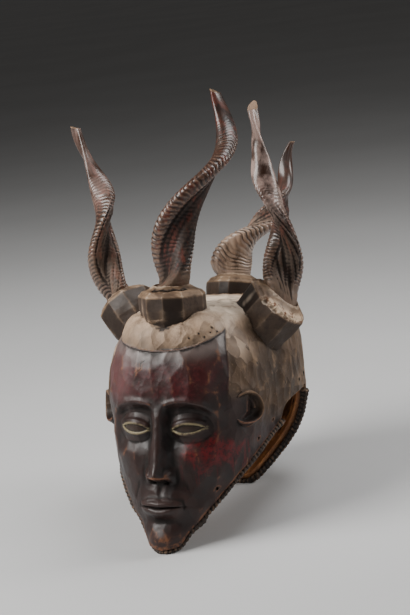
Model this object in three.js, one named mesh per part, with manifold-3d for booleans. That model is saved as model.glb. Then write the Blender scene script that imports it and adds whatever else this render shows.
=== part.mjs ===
// A carved wooden helmet mask with four twisted antelope horns set in round bosses on its crown.
// Millimetres, +Z up, the face towards -Y, the wearer's left side towards +X.
// The head is laid out upright with its chin at the origin, then leaned back until it rests
// on the chin and on the tongue at the nape, as the mask stands when it isn't worn.
import * as THREE from 'three';
import { mergeVertices } from 'three/addons/utils/BufferGeometryUtils.js';
import Module from 'manifold-3d';

const wasm = await Module();
wasm.setup();

// Head
const leanBack = THREE.MathUtils.degToRad(15.6);
const axisY = 142;            // the upright line that the bowl is laid out around
const widestHeight = 200;     // above this the skull closes, below it narrows to chin and nape
const crownHeight = 316;
const crownSlope = 0.12;      // rise of the crown for each millimetre towards the back
const wall = 12;
const seamStep = 1;           // the cavity tool stays this far off the inner wall
const gap = 0.3;              // room that touching pieces keep

// Columns around the head, in degrees from the nose: the step up to each angle
const columnSteps = [[24, 2.67], [57, 8.2], [94, 12.3], [101, 3.5], [129, 9.4], [137, 2.7], [161, 4.8], [180, 9.5]];
const capRows = 6;
const sideRows = 23;
const innerRows = 4;

// Profiles as [height, value] pairs
const frontLine = [[0, 8], [8, 3], [24, 5], [42, 9], [60, 5], [92, 6], [125, 4], [160, 1], [188, -2.7], [200, -3]];
const backLine = [[55, 226], [64, 232], [80, 242], [105, 257], [137, 275], [165, 288], [188, 294.4], [200, 295]];
const faceWidth = [[0, 31], [10, 43], [30, 59], [57, 77], [97, 91], [133, 97], [157, 99], [177, 101], [200, 103]];
const napeWidth = [[55, 42], [65, 50], [81, 69], [105, 87], [137, 101], [165, 107], [188, 109.7], [200, 110]];
const faceSquareness = [[0, 2.2], [60, 2.35], [130, 2.8], [200, 2.8]];
const napeSquareness = 3.6;
// The closing skull as [share of its full radius, share of its height]
const skullLine = [[1, 0], [0.985, 0.26], [0.945, 0.51], [0.9, 0.68], [0.85, 0.8], [0.78, 0.88], [0.66, 0.935],
  [0.44, 0.972], [0.2, 0.992], [0, 1]];
// The lower edge of the wood as [degrees from the nose, height]
const rimLine = [[0, 7], [8, 11], [15, 31], [28, 62], [46, 101], [70, 134], [94, 160], [97, 176], [101, 183], [111, 189],
  [122, 195], [131, 201], [134, 196], [138, 172], [143, 143], [150, 111], [157, 85], [161, 74.5], [168, 68.5], [180, 67.5]];
const jawEnd = 95.5;
const archEnd = 134;

// Face, laid out from the chin on the usual thirds and halves of a head
const eyeLine = 157;
const eyeSpacing = 36;        // from the middle of the face to the middle of an eye
const eyeHalfWidth = 18;
const eyeHalfHeight = 8.5;
const eyeDepth = 9;
const socketReach = 8;
const browLine = 183;
const noseRoot = 176;
const noseBase = 92;
const noseReach = 22;
const noseHalfWidth = 19;
const mouthLine = 61;
const mouthHalfWidth = 27;
const chinMiddle = 20;

// Hair: the crescent ledge over the forehead and the upright edge at each temple
const ledgeMiddle = 250;
const ledgeEnds = 276;
const templeAngle = 36;
const ledgeDepth = 3;
const templeDepth = 1.6;

// Ears
const earCentre = new THREE.Vector3(92, 57, 177);
const earHalfHeight = 22;
const earHalfWidth = 17;
const earRimRadius = 4.2;
const earReach = 8;

// Bosses and horns: where the middle of each boss's top lies, and the way the boss points
const bossHeight = 72;
const bossChamfer = 4;
const bossSides = 11;
const hornFootRadius = 22;
const socketDepth = 5;
const socketSides = 16;
const keelFlatness = 0.58;    // thickness of a horn against its width
const hornSides = 12;
const hornSteps = 23;
const bosses = {
  front: { top: [0, 43.6, 324.5], axis: [0, -0.2, 0.98], radius: 41, footRadius: 37.5, spin: 10 },
  back: { top: [0, 248, 340.6], axis: [0.02, 0.12, 0.99], radius: 40, footRadius: 38, spin: 0 },
  left: { top: [-111, 133, 313], axis: [-0.62, 0.2, 0.76], radius: 39.5, footRadius: 36, spin: 5 },
  right: { top: [111, 133, 313], axis: [0.62, 0.2, 0.76], radius: 40.5, footRadius: 36, spin: 16 },
};
// Each horn is a helix: the lean of its axis, its length, the radius of its coil at foot and tip,
// where the coil starts and how many turns it makes, its half width at foot and tip with the
// swelling above the foot, and how the flat section is turned against the coil.
const horns = {
  front: {
    lean: [0.157, 0.206], length: 267, coil: [15.5, 23.9], start: 1.95, turns: 1.076,
    half: [31.1, 8.6], swell: 0.098, keel: 3.19, keelTurns: -0.166, shift: [7.8, 1.9],
  },
  left: {
    lean: [-0.297, 0.065], length: 253, coil: [13.4, 5.3], start: 2.0, turns: 1.254,
    half: [30.9, 6.2], swell: -0.123, keel: -0.11, keelTurns: 0, shift: [-1.7, -1.1],
  },
  right: {
    lean: [-0.195, 0], length: 255, coil: [11, 0.5], start: -2.83, turns: -1.362,
    half: [28.1, 7.6], swell: 0.087, keel: 1.4, keelTurns: 0.228, shift: [1, 0],
  },
  back: {
    lean: [0.312, 0.485], length: 226, coil: [18.6, 10], start: 2.42, turns: 1.185,
    half: [31.7, 5.2], swell: 0, keel: 0.25, keelTurns: 0.207, shift: [-6.1, -4.1],
  },
};

// Bindings along the jaw and the nape
const bindingHalfWidth = 5.2;
const bindingHalfThickness = 3.3;
const bindingGap = 0.6;
const bindingSides = 8;
const footWear = 0.7;         // how far the bindings are worn flat where the mask stands on them
const chinRest = 10.9;        // the origin lies this far behind the chin, in the middle of the worn flat

// Curves and small helpers

function through(pairs, reverse = false) {
  // A smooth curve through the pairs that never overshoots them
  const rows = reverse ? pairs.map(([a, b]) => [b, a]).sort((p, q) => p[0] - q[0]) : pairs;
  const xs = rows.map((row) => row[0]);
  const ys = rows.map((row) => row[1]);
  const last = xs.length - 1;
  const slopes = [];
  for (let i = 0; i < last; i += 1) slopes.push((ys[i + 1] - ys[i]) / (xs[i + 1] - xs[i]));
  const tangents = xs.map((_, i) => {
    if (i === 0) return slopes[0];
    if (i === last) return slopes[last - 1];
    const product = slopes[i - 1] * slopes[i];
    return product > 0 ? (2 * product) / (slopes[i - 1] + slopes[i]) : 0;
  });
  return (x) => {
    const clamped = THREE.MathUtils.clamp(x, xs[0], xs[last]);
    let i = 0;
    while (i < last - 1 && clamped > xs[i + 1]) i += 1;
    const width = xs[i + 1] - xs[i];
    const t = (clamped - xs[i]) / width;
    const t2 = t * t;
    const t3 = t2 * t;
    return (2 * t3 - 3 * t2 + 1) * ys[i] + (t3 - 2 * t2 + t) * width * tangents[i]
      + (3 * t2 - 2 * t3) * ys[i + 1] + (t3 - t2) * width * tangents[i + 1];
  };
}

const smooth = THREE.MathUtils.smoothstep;
const mix = THREE.MathUtils.lerp;
const radians = THREE.MathUtils.degToRad;
const bump = (distance, width) => Math.exp(-((distance / width) ** 2));

const frontAt = through(frontLine);
const backAt = through(backLine);
const faceWidthAt = through(faceWidth);
const napeWidthAt = through(napeWidth);
const squarenessAt = through(faceSquareness);
const rimAt = through(rimLine);
const skullRadiusAt = through(skullLine, true);

// The smooth head without its carving

function bowlRadius(degrees, height) {
  const angle = radians(degrees);
  const behind = smooth(Math.abs(degrees), 78, 108);
  const low = Math.min(height, widestHeight);
  const depth = Math.abs(degrees) < 90 ? axisY - frontAt(low) : backAt(low) - axisY;
  const width = mix(faceWidthAt(low), napeWidthAt(low), behind);
  const power = mix(squarenessAt(low), napeSquareness, behind);
  const share = height > widestHeight
    ? skullRadiusAt((height - widestHeight) / (crownHeight - widestHeight)) : 1;
  const sum = Math.abs(Math.sin(angle) / width) ** power + Math.abs(Math.cos(angle) / depth) ** power;
  return share * sum ** (-1 / power);
}

function bowlPoint(degrees, height) {
  const angle = radians(degrees);
  const radius = bowlRadius(degrees, height);
  const y = axisY - radius * Math.cos(angle);
  const lift = crownSlope * (y - axisY) * smooth(height, widestHeight, 290);
  return new THREE.Vector3(radius * Math.sin(angle), y, height + lift);
}

function bowlNormal(degrees, height) {
  const around = bowlPoint(degrees + 0.5, height).sub(bowlPoint(degrees - 0.5, height));
  const up = bowlPoint(degrees, height + 0.5).sub(bowlPoint(degrees, height - 0.5));
  return around.cross(up).normalize();
}

// Carving of the face and hair, as the distance that the surface stands out

function browHeight(side) {
  return browLine + 4 - 0.0085 * (side - 32) ** 2;
}

function noseRelief(side, height) {
  const down = THREE.MathUtils.clamp((noseRoot - height) / (noseRoot - noseBase), 0, 1);
  const reach = mix(5, noseReach, down ** 1.25) * smooth(height, noseBase - 5, noseBase + 5)
    * (1 - smooth(height, noseRoot - 6, noseRoot + 10));
  const half = mix(8, noseHalfWidth, down ** 2.2);
  return reach * (1 - smooth(side, half * 0.25, half));
}

function socketRelief(side, height) {
  const under = smooth(browHeight(side) - height, -1, 7) * (1 - smooth(side, 58, 74));
  return -socketReach * under * smooth(height, 128, 152) * smooth(side, 5, 14);
}

function mouthRelief(side, height) {
  const width = Math.max(0, 1 - (side / mouthHalfWidth) ** 2);
  const upper = bump(height - mouthLine - 5.5, 4.6) * Math.sqrt(width);
  const lower = bump(height - mouthLine + 6, 5) * width;
  const line = bump(height - mouthLine, 1.8) * Math.sqrt(width);
  return 4 * bump(side, 30) * bump(height - mouthLine, 26) + 6 * upper + 6 * lower - 2 * line;
}

function faceRelief(side, height) {
  const chin = 5 * bump(side, 17) * bump(height - chinMiddle, 13);
  const brow = 2.2 * bump(height - browHeight(side), 6) * (1 - smooth(side, 55, 72));
  const cheek = 3 * bump(side - 45, 18) * bump(height - 112, 24);
  return noseRelief(side, height) + socketRelief(side, height) + mouthRelief(side, height) + chin + brow + cheek;
}

function hairRelief(degrees, height) {
  const side = Math.abs(degrees);
  const ledge = mix(ledgeMiddle, ledgeEnds + 10, (side / templeAngle) ** 2);
  const over = smooth(height, ledge - 3, ledge + 3);
  const behind = smooth(side, templeAngle - 2, templeAngle + 2) * smooth(height, 150, 190);
  return Math.max(ledgeDepth * over, templeDepth * behind);
}

function headPoint(degrees, height) {
  const point = bowlPoint(degrees, height);
  const normal = bowlNormal(degrees, height);
  const side = Math.abs(point.x);
  const facing = 1 - smooth(Math.abs(degrees), 44, 60);
  if (facing > 0) point.y -= facing * faceRelief(side, height);
  return point.addScaledVector(normal, hairRelief(degrees, height));
}

// Meshes and solids

function columnAngles() {
  const half = [0];
  let from = 0;
  for (const [to, step] of columnSteps) {
    const count = Math.max(1, Math.round((to - from) / step));
    for (let i = 1; i <= count; i += 1) half.push(from + ((to - from) * i) / count);
    from = to;
  }
  const left = half.slice(1, -1).map((angle) => -angle).reverse();
  return [-180, ...left, ...half];
}

function latheOver(columns, rows, place) {
  // A lathe whose vertices are then put in place column by column and row by row
  const profile = Array.from({ length: rows }, (_, i) => new THREE.Vector2(i, i));
  const geometry = new THREE.LatheGeometry(profile, columns.length - 1);
  const position = geometry.attributes.position;
  columns.forEach((degrees, column) => {
    for (let row = 0; row < rows; row += 1) {
      const point = place(degrees, row);
      position.setXYZ(column * rows + row, point.x, point.y, point.z);
    }
  });
  return geometry;
}

function weld(geometry) {
  const bare = geometry.clone();
  bare.deleteAttribute('normal');
  bare.deleteAttribute('uv');
  const welded = mergeVertices(bare, 1e-4);
  const index = [];
  for (let i = 0; i < welded.index.count; i += 3) {
    const corner = [0, 1, 2].map((k) => welded.index.getX(i + k));
    if (new Set(corner).size === 3) index.push(...corner);
  }
  welded.setIndex(index);
  return welded;
}

function solidFrom(geometry) {
  const welded = weld(geometry);
  const solid = (flip) => new wasm.Manifold(new wasm.Mesh({
    numProp: 3,
    vertProperties: new Float32Array(welded.attributes.position.array),
    triVerts: new Uint32Array(flip ? Array.from(welded.index.array).reverse() : welded.index.array),
  }));
  const first = solid(false);
  return first.volume() > 0 ? first : solid(true);
}

function geometryFrom(solid) {
  const mesh = solid.getMesh();
  const geometry = new THREE.BufferGeometry();
  geometry.setAttribute('position', new THREE.BufferAttribute(new Float32Array(mesh.vertProperties), 3));
  geometry.setIndex(Array.from(mesh.triVerts));
  geometry.computeVertexNormals();
  return geometry;
}

function sweep(sides, steps, place) {
  // A closed bar: place(along, angle, out) gives the point, with out 0 in the middle of an end
  const geometry = new THREE.CylinderGeometry(1, 1, 1, sides, steps);
  const position = geometry.attributes.position;
  for (let i = 0; i < position.count; i += 1) {
    const out = Math.hypot(position.getX(i), position.getZ(i));
    const angle = Math.atan2(position.getX(i), position.getZ(i));
    const point = place(position.getY(i) + 0.5, angle, out > 0.5 ? 1 : 0);
    position.setXYZ(i, point.x, point.y, point.z);
  }
  return geometry;
}

// Head shell

const outerRows = capRows + sideRows;

function rowHeight(degrees, row) {
  // Rows close the skull first, then run down to the rim, closest together across the face
  if (row <= capRows) {
    const share = row / capRows;
    return mix(crownHeight, widestHeight, 1 - Math.cos((share ** 1.15 * Math.PI) / 2));
  }
  const down = (row - capRows) / sideRows;
  return mix(widestHeight, rimAt(Math.abs(degrees)), down);
}

function shellPoint(degrees, row) {
  if (row === 0) return headPoint(0, crownHeight);
  if (row <= outerRows) return headPoint(degrees, rowHeight(degrees, row));
  return innerPoint(degrees, (row - outerRows - 1) / innerRows, wall);
}

function innerPoint(degrees, share, inset) {
  // From the rim (share 0) up the inner wall to the crown (share 1)
  const rim = rimAt(Math.abs(degrees));
  const height = mix(rim, crownHeight, Math.sin((share * Math.PI) / 2));
  if (share > 0.999) return bowlPoint(0, crownHeight).add(new THREE.Vector3(0, 0, -inset));
  return bowlPoint(degrees, height).addScaledVector(bowlNormal(degrees, height), -inset);
}

function shellSolid() {
  return solidFrom(latheOver(columnAngles(), outerRows + innerRows + 2, shellPoint));
}

function cavitySolid() {
  // The room inside, down to a point on the axis well below the rim
  const below = new THREE.Vector3(0, axisY, -60);
  const rows = innerRows + 2;
  return solidFrom(latheOver(columnAngles(), rows, (degrees, row) => {
    if (row === 0) return below;
    return innerPoint(degrees, (row - 1) / innerRows, wall + seamStep);
  }));
}

// Bosses with their sockets

function standingOn(spec) {
  const up = new THREE.Vector3(...spec.axis).normalize();
  const turn = new THREE.Quaternion().setFromUnitVectors(new THREE.Vector3(0, 1, 0), up);
  return new THREE.Matrix4().compose(new THREE.Vector3(...spec.top), turn, new THREE.Vector3(1, 1, 1));
}

function bossSolid(spec) {
  const outline = [[0, -bossHeight], [spec.footRadius - 1, -bossHeight], [spec.footRadius, -38],
    [spec.radius, -bossChamfer], [spec.radius - 5.5, 0], [hornFootRadius + 1, 1.2], [0, 1.2]];
  const points = outline.map(([x, y]) => new THREE.Vector2(x, y));
  const geometry = new THREE.LatheGeometry(points, bossSides, radians(spec.spin));
  return solidFrom(geometry.applyMatrix4(standingOn(spec)));
}

function socketSolid(spec) {
  const radius = (hornFootRadius + gap) / Math.cos(Math.PI / socketSides);
  const geometry = new THREE.CylinderGeometry(radius, radius, socketDepth * 3, socketSides);
  geometry.translate(0, socketDepth / 2 - gap, 0);
  return solidFrom(geometry.applyMatrix4(standingOn(spec)));
}

// Ears: a raised rim around a hollow, with a lobe below

function earFrame(side) {
  const out = new THREE.Vector3(0.86 * side, -0.5, 0).normalize();
  const back = new THREE.Vector3(0.5 * side, 0.86, 0).normalize();
  return { out, back, centre: new THREE.Vector3(earCentre.x * side, earCentre.y, earCentre.z) };
}

function earSolid(side) {
  const { out, back, centre } = earFrame(side);
  const points = [];
  for (let i = 0; i <= 12; i += 1) {
    const angle = mix(radians(205), radians(-112), i / 12);
    const lift = earReach * Math.sin((Math.PI * Math.min(i + 1.2, 12)) / 13) - 1 - 2 * smooth(i, 8, 11);
    points.push(centre.clone()
      .addScaledVector(back, earHalfWidth * Math.cos(angle))
      .add(new THREE.Vector3(0, 0, earHalfHeight * Math.sin(angle)))
      .addScaledVector(out, lift));
  }
  const route = new THREE.CatmullRomCurve3(points);
  const section = new THREE.Shape().absarc(0, 0, earRimRadius, 0, Math.PI * 2);
  const options = { steps: 15, curveSegments: 6, bevelEnabled: false, extrudePath: route };
  return solidFrom(new THREE.ExtrudeGeometry(section, options));
}

function eyeSolid(side) {
  const degrees = THREE.MathUtils.radToDeg(Math.asin(eyeSpacing / (axisY - frontAt(eyeLine)))) * side;
  const geometry = new THREE.SphereGeometry(1, 12, 7);
  geometry.scale(eyeHalfWidth, eyeDepth, eyeHalfHeight);
  geometry.rotateZ(radians(14) * side);
  const seat = bowlPoint(degrees, eyeLine);
  geometry.translate(seat.x, seat.y + socketReach - 1, seat.z);
  return solidFrom(geometry);
}

function headSolid() {
  let solid = shellSolid();
  for (const side of [-1, 1]) solid = solid.add(eyeSolid(side));
  for (const spec of Object.values(bosses)) solid = solid.add(bossSolid(spec));
  for (const side of [-1, 1]) solid = solid.add(earSolid(side));
  solid = solid.subtract(cavitySolid());
  for (const spec of Object.values(bosses)) solid = solid.subtract(socketSolid(spec));
  return solid;
}

// Horns

function hornFrame(horn, spec, along) {
  const axis = new THREE.Vector3(horn.lean[0], horn.lean[1], 1).normalize();
  const across = new THREE.Vector3(0, 1, 0).cross(axis).normalize();
  const over = axis.clone().cross(across);
  const arm = (angle, radius) => across.clone().multiplyScalar(Math.cos(angle) * radius)
    .addScaledVector(over, Math.sin(angle) * radius);
  const angle = horn.start + Math.PI * 2 * horn.turns * along;
  const centre = (share) => new THREE.Vector3(...spec.top)
    .add(new THREE.Vector3(horn.shift[0], horn.shift[1], 0))
    .sub(arm(horn.start, horn.coil[0]))
    .addScaledVector(axis, horn.length * share)
    .add(arm(horn.start + Math.PI * 2 * horn.turns * share, mix(horn.coil[0], horn.coil[1], share)));
  const tangent = centre(along + 0.005).sub(centre(along - 0.005)).normalize();
  const wide = arm(angle + horn.keel + Math.PI * 2 * horn.keelTurns * along, 1);
  wide.addScaledVector(tangent, -wide.dot(tangent)).normalize();
  const thick = tangent.clone().cross(wide);
  const swelling = 1 + horn.swell * bump(along - 0.16, 0.14);
  const half = mix(horn.half[0], horn.half[1], along) * swelling;
  return { centre: centre(along), tangent, wide, thick, half };
}

function hornPoint(horn, spec, along, angle, out) {
  // The foot is round and stands square in its socket, and turns into the flat section above it
  const up = new THREE.Vector3(...spec.axis).normalize();
  const top = new THREE.Vector3(...spec.top);
  const share = THREE.MathUtils.clamp((along - 0.07) / 0.93, 0, 1);
  const frame = hornFrame(horn, spec, mix(0.045, 1, share));
  const cos = Math.cos(angle);
  const sin = Math.sin(angle);
  const flat = Math.sign(sin) * Math.abs(sin) ** 1.3 * keelFlatness;
  const body = frame.centre.clone()
    .addScaledVector(frame.wide, out * cos * frame.half)
    .addScaledVector(frame.thick, out * flat * frame.half);
  const wide = frame.wide.clone().addScaledVector(up, -frame.wide.dot(up)).normalize();
  const thick = up.clone().cross(wide);
  const rise = along < 0.03 ? mix(-socketDepth, 0, along / 0.03) : (along - 0.03) * 150;
  const foot = top.addScaledVector(up, rise)
    .addScaledVector(wide, out * cos * hornFootRadius)
    .addScaledVector(thick, out * sin * hornFootRadius);
  return foot.lerp(body, smooth(along, 0.035, 0.12));
}

function hornGeometry(horn, spec) {
  const rings = [0, 0.03, 0.055, 0.08];
  const place = (step, angle, out) => {
    const ring = Math.round(step * hornSteps);
    const along = ring < rings.length ? rings[ring]
      : mix(0.08, 1, (ring - rings.length + 1) / (hornSteps - rings.length + 1));
    return hornPoint(horn, spec, along, angle, out);
  };
  return sweep(hornSides, hornSteps, place);
}

// Bindings

function bindingFrame(degrees) {
  // Around the rim's flat edge: out of the wood, and away from the rim
  const rim = (angle) => bowlPoint(angle, rimAt(Math.abs(angle)));
  const normal = bowlNormal(degrees, rimAt(Math.abs(degrees)));
  const tangent = rim(degrees + 0.4).sub(rim(degrees - 0.4)).normalize();
  const away = tangent.cross(normal).normalize();
  if (away.z > 0) away.negate();
  return { edge: rim(degrees), normal, away };
}

function bindingGeometry(angles) {
  // Bends at the head's own columns, so that it follows the rim's facets
  const steps = angles.length - 1;
  return sweep(bindingSides, steps, (along, angle, out) => {
    const { edge, normal, away } = bindingFrame(angles[Math.round(along * steps)]);
    return edge
      .addScaledVector(normal, -wall / 2 + out * Math.cos(angle) * bindingHalfWidth)
      .addScaledVector(away, bindingHalfThickness + bindingGap + out * Math.sin(angle) * bindingHalfThickness);
  });
}

// Putting the mask together

function coloured(name, geometry, color, roughness) {
  const mesh = new THREE.Mesh(geometry, new THREE.MeshStandardMaterial({ color, roughness, metalness: 0 }));
  mesh.name = name;
  return mesh;
}

function lowestOf(geometry) {
  const leaned = geometry.clone().applyMatrix4(new THREE.Matrix4().makeRotationX(-leanBack));
  leaned.computeBoundingBox();
  return leaned.boundingBox.min.z;
}

function wornFlat(geometry, floor) {
  // Cuts off what lies below the floor, which slopes in the upright head's own frame
  const ground = new THREE.BoxGeometry(800, 800, 100);
  ground.translate(0, 200, floor - 50);
  ground.applyMatrix4(new THREE.Matrix4().makeRotationX(leanBack));
  return geometryFrom(solidFrom(geometry).subtract(solidFrom(ground)));
}

const columns = columnAngles();
const jaw = bindingGeometry(columns.filter((degrees) => Math.abs(degrees) <= jawEnd));
const napeSide = columns.filter((degrees) => degrees >= archEnd);
const nape = bindingGeometry([...napeSide, ...napeSide.slice(0, -1).map((degrees) => -degrees).reverse()]);
const floor = Math.max(lowestOf(jaw), lowestOf(nape)) + footWear;

const mask = new THREE.Group();
mask.rotation.x = -leanBack;
mask.position.set(0, -chinRest, -floor);
mask.add(coloured('head', geometryFrom(headSolid()), 0x6b5648, 0.45));
for (const [place, horn] of Object.entries(horns)) {
  mask.add(coloured(`horn_${place}`, hornGeometry(horn, bosses[place]), 0x5d4a40, 0.4));
}
mask.add(coloured('jaw_binding', wornFlat(jaw, floor), 0x33261e, 0.8));
mask.add(coloured('nape_binding', wornFlat(nape, floor), 0x33261e, 0.8));

export default mask;
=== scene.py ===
import math

import bmesh
import bpy
import numpy as np
from mathutils import Matrix, Vector
from mathutils.kdtree import KDTree


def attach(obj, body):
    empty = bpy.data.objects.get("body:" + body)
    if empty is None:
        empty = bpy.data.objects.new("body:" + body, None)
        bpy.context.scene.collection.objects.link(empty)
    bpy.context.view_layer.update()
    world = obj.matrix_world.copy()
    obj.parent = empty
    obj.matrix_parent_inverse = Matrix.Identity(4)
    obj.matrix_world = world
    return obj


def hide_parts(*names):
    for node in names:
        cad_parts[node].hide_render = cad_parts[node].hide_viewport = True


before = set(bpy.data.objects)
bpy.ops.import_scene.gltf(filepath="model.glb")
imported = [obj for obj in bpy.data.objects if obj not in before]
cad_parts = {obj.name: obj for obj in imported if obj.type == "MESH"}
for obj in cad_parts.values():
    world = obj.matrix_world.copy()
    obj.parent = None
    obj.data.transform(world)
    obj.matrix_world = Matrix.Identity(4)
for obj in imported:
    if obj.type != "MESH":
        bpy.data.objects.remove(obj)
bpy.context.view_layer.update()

millimetre = 0.001
touching = 0.001  # points this close are one

# The mask is laid out upright with its chin at the origin, in millimetres, the face towards -Y.
# It stands leaned back on its chin and on the tongue at its nape.
standing = {"leanBack": 15.6, "chinRest": 10.9, "floor": 0.277}


def toStanding(points):
    lean = math.radians(standing["leanBack"])
    x, y, z = np.asarray(points, float).T
    back = y * math.cos(lean) + z * math.sin(lean) - standing["chinRest"]
    up = z * math.cos(lean) - y * math.sin(lean) - standing["floor"]
    return np.stack([x, back, up], 1) * millimetre


# Small curves and falloffs, on numbers or on arrays

def through(pairs, at):
    # a smooth curve through the pairs that never overshoots them
    xs, ys = np.array(sorted(pairs), float).T
    widths = np.diff(xs)
    slopes = np.diff(ys) / widths
    product = slopes[:-1] * slopes[1:]
    total = np.where(product > 0, slopes[:-1] + slopes[1:], 1)
    tangents = np.concatenate([slopes[:1], np.where(product > 0, 2 * product / total, 0), slopes[-1:]])
    at = np.clip(at, xs[0], xs[-1])
    i = np.clip(np.searchsorted(xs, at) - 1, 0, len(xs) - 2)
    t = (at - xs[i]) / widths[i]
    rise = (2 * t**3 - 3 * t**2 + 1) * ys[i] + (3 * t**2 - 2 * t**3) * ys[i + 1]
    return rise + widths[i] * ((t**3 - 2 * t**2 + t) * tangents[i] + (t**3 - t**2) * tangents[i + 1])


def smooth(value, low, high):
    t = np.clip((np.asarray(value, float) - low) / (high - low), 0, 1)
    return t * t * (3 - 2 * t)


def within(value, low, full, fading, high):
    # rises from low to full and falls from fading to high
    return smooth(value, low, full) * (1 - smooth(value, fading, high))


def bump(distance, width):
    return np.exp(-((distance / width) ** 2))


def mix(a, b, share):
    return a + (b - a) * share


def unit(vectors):
    return vectors / np.maximum(np.linalg.norm(vectors, axis=-1, keepdims=True), 1e-9)


# The smooth bowl of the head

bowl = {
    "axisY": 142, "widest": 200, "crown": 316, "crownSlope": 0.12, "fullSlope": 290, "wall": 12,
    "faceToNape": (78, 108),
    "front": [(0, 8), (8, 3), (24, 5), (42, 9), (60, 5), (92, 6), (125, 4), (160, 1), (188, -2.7), (200, -3)],
    "back": [(55, 226), (64, 232), (80, 242), (105, 257), (137, 275), (165, 288), (188, 294.4), (200, 295)],
    "faceWidth": [(0, 31), (10, 43), (30, 59), (57, 77), (97, 91), (133, 97), (157, 99), (177, 101),
                  (200, 103)],
    "napeWidth": [(55, 42), (65, 50), (81, 69), (105, 87), (137, 101), (165, 107), (188, 109.7), (200, 110)],
    "faceSquareness": [(0, 2.2), (60, 2.35), (130, 2.8), (200, 2.8)],
    "napeSquareness": 3.6,
    "skull": [(0, 1), (0.26, 0.985), (0.51, 0.945), (0.68, 0.9), (0.8, 0.85), (0.88, 0.78), (0.935, 0.66),
              (0.972, 0.44), (0.992, 0.2), (1, 0)],
    "rim": [(0, 7), (8, 11), (15, 31), (28, 62), (46, 101), (70, 134), (94, 160), (97, 176), (101, 183),
            (111, 189), (122, 195), (131, 201), (134, 196), (138, 172), (143, 143), (150, 111), (157, 85),
            (161, 74.5), (168, 68.5), (180, 67.5)],
}


def bowlPoint(degrees, height):
    degrees, height = np.broadcast_arrays(np.asarray(degrees, float), np.asarray(height, float))
    angle = np.radians(degrees)
    around = np.abs(degrees)
    behind = smooth(around, *bowl["faceToNape"])
    low = np.minimum(height, bowl["widest"])
    reach = np.where(around < 90, bowl["axisY"] - through(bowl["front"], low),
                     through(bowl["back"], low) - bowl["axisY"])
    width = mix(through(bowl["faceWidth"], low), through(bowl["napeWidth"], low), behind)
    power = mix(through(bowl["faceSquareness"], low), bowl["napeSquareness"], behind)
    closing = np.maximum(height - bowl["widest"], 0) / (bowl["crown"] - bowl["widest"])
    share = through(bowl["skull"], closing)
    total = np.abs(np.sin(angle) / width) ** power + np.abs(np.cos(angle) / reach) ** power
    radius = share * total ** (-1 / power)
    y = bowl["axisY"] - radius * np.cos(angle)
    return np.stack([radius * np.sin(angle), y, height + crownLift(y, height)], -1)


def crownLift(y, height):
    # the crown rises towards the back
    return bowl["crownSlope"] * (y - bowl["axisY"]) * smooth(height, bowl["widest"], bowl["fullSlope"])


def bowlNormal(degrees, height):
    step = 0.5
    height = np.minimum(height, bowl["crown"] - step)
    around = bowlPoint(degrees + step, height) - bowlPoint(degrees - step, height)
    up = bowlPoint(degrees, height + step) - bowlPoint(degrees, height - step)
    return unit(np.cross(around, up))


def crownPoint():
    return bowlPoint(0.0, float(bowl["crown"]))


def rimHeight(degrees):
    return through(bowl["rim"], np.abs(degrees))


# Carving, as the distance that the surface stands out. The face is laid out on the usual
# halves and thirds of a head, from the chin up. A lump is its reach, then its place and width
# to the side, then its place and width in height; a negative reach cuts in.

face = {
    "eyeLine": 156, "eyeSpacing": 36, "eyeHalfWidth": 19, "upperLid": 5.4, "lowerLid": 5.2, "lidReach": 1.9,
    "socketReach": 8.5, "ballReach": 9, "brow": 187, "browBend": 0.0085, "noseRoot": 177, "noseBase": 92,
    "noseReach": 21.5, "mouth": 60, "mouthHalfWidth": 28,
    "noseLumps": [(3.2, 0, 9, 101, 9), (8.5, 14.5, 5.5, 99.5, 7), (-1.8, 22, 2.4, 100, 8),
                  (-1.1, 9, 2, 105, 6), (-6, 8.5, 3.4, 91.8, 2.6)],
    "mouthLumps": [(4.5, 0, 30, 62, 25), (-1.5, 0, 3.2, 81, 8), (-1.9, 0, 18, 41, 5)],
    "cheek": (3.2, 46, 18, 114, 24), "chin": (5.5, 0, 18, 20, 13),
}
hair = {"ledgeMiddle": 262, "ledgeEnds": 288, "temple": 36, "ledgeDepth": 2.0, "templeDepth": 0.6,
        "fullness": 6.8, "shaved": 5, "groove": 0.15}


def lump(side, height, reach, sideways, width, up, tall):
    return reach * bump(side - sideways, width) * bump(height - up, tall)


def socketRelief(side, height):
    brow = face["brow"] - face["browBend"] * (side - 32) ** 2
    under = smooth(brow - height, -2.5, 8) * (1 - smooth(side, 54, 76))
    cut = under * smooth(height, 120, 154) * smooth(side, 3, 15)
    crest = bump(height - brow - 3, 4) * within(side, 3, 14, 56, 70)
    return 2.1 * crest - face["socketReach"] * cut


def lidLines(side):
    across = np.clip(np.abs(side - face["eyeSpacing"]) / face["eyeHalfWidth"], 0, 1)
    corner = face["eyeLine"] + (side - face["eyeSpacing"]) * 0.07
    upper = corner + face["upperLid"] * (1 - across**2) ** 0.8
    return upper, corner - face["lowerLid"] * (1 - across**2.4) ** 1.1


def eyeRelief(side, height):
    across = (side - face["eyeSpacing"]) / (face["eyeHalfWidth"] + 9)
    along = (height - face["eyeLine"] - 1) / 19
    ball = face["ballReach"] * np.clip(1 - across**2 - along**2, 0, 1) ** 1.25
    upper, lower = lidLines(side)
    near = 1 - smooth(np.abs(side - face["eyeSpacing"]), face["eyeHalfWidth"] - 2, face["eyeHalfWidth"] + 5)
    under = 0.7 * within(lower - height, -0.3, 0.9, 2.5, 6.5)
    lids = np.maximum(within(height - upper, -0.3, 0.9, 5.5, 8.5), under)
    between = smooth(upper - height, 0, 1.2) * smooth(height - lower, 0, 1.2)
    return ball + near * (face["lidReach"] * lids - between)


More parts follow.
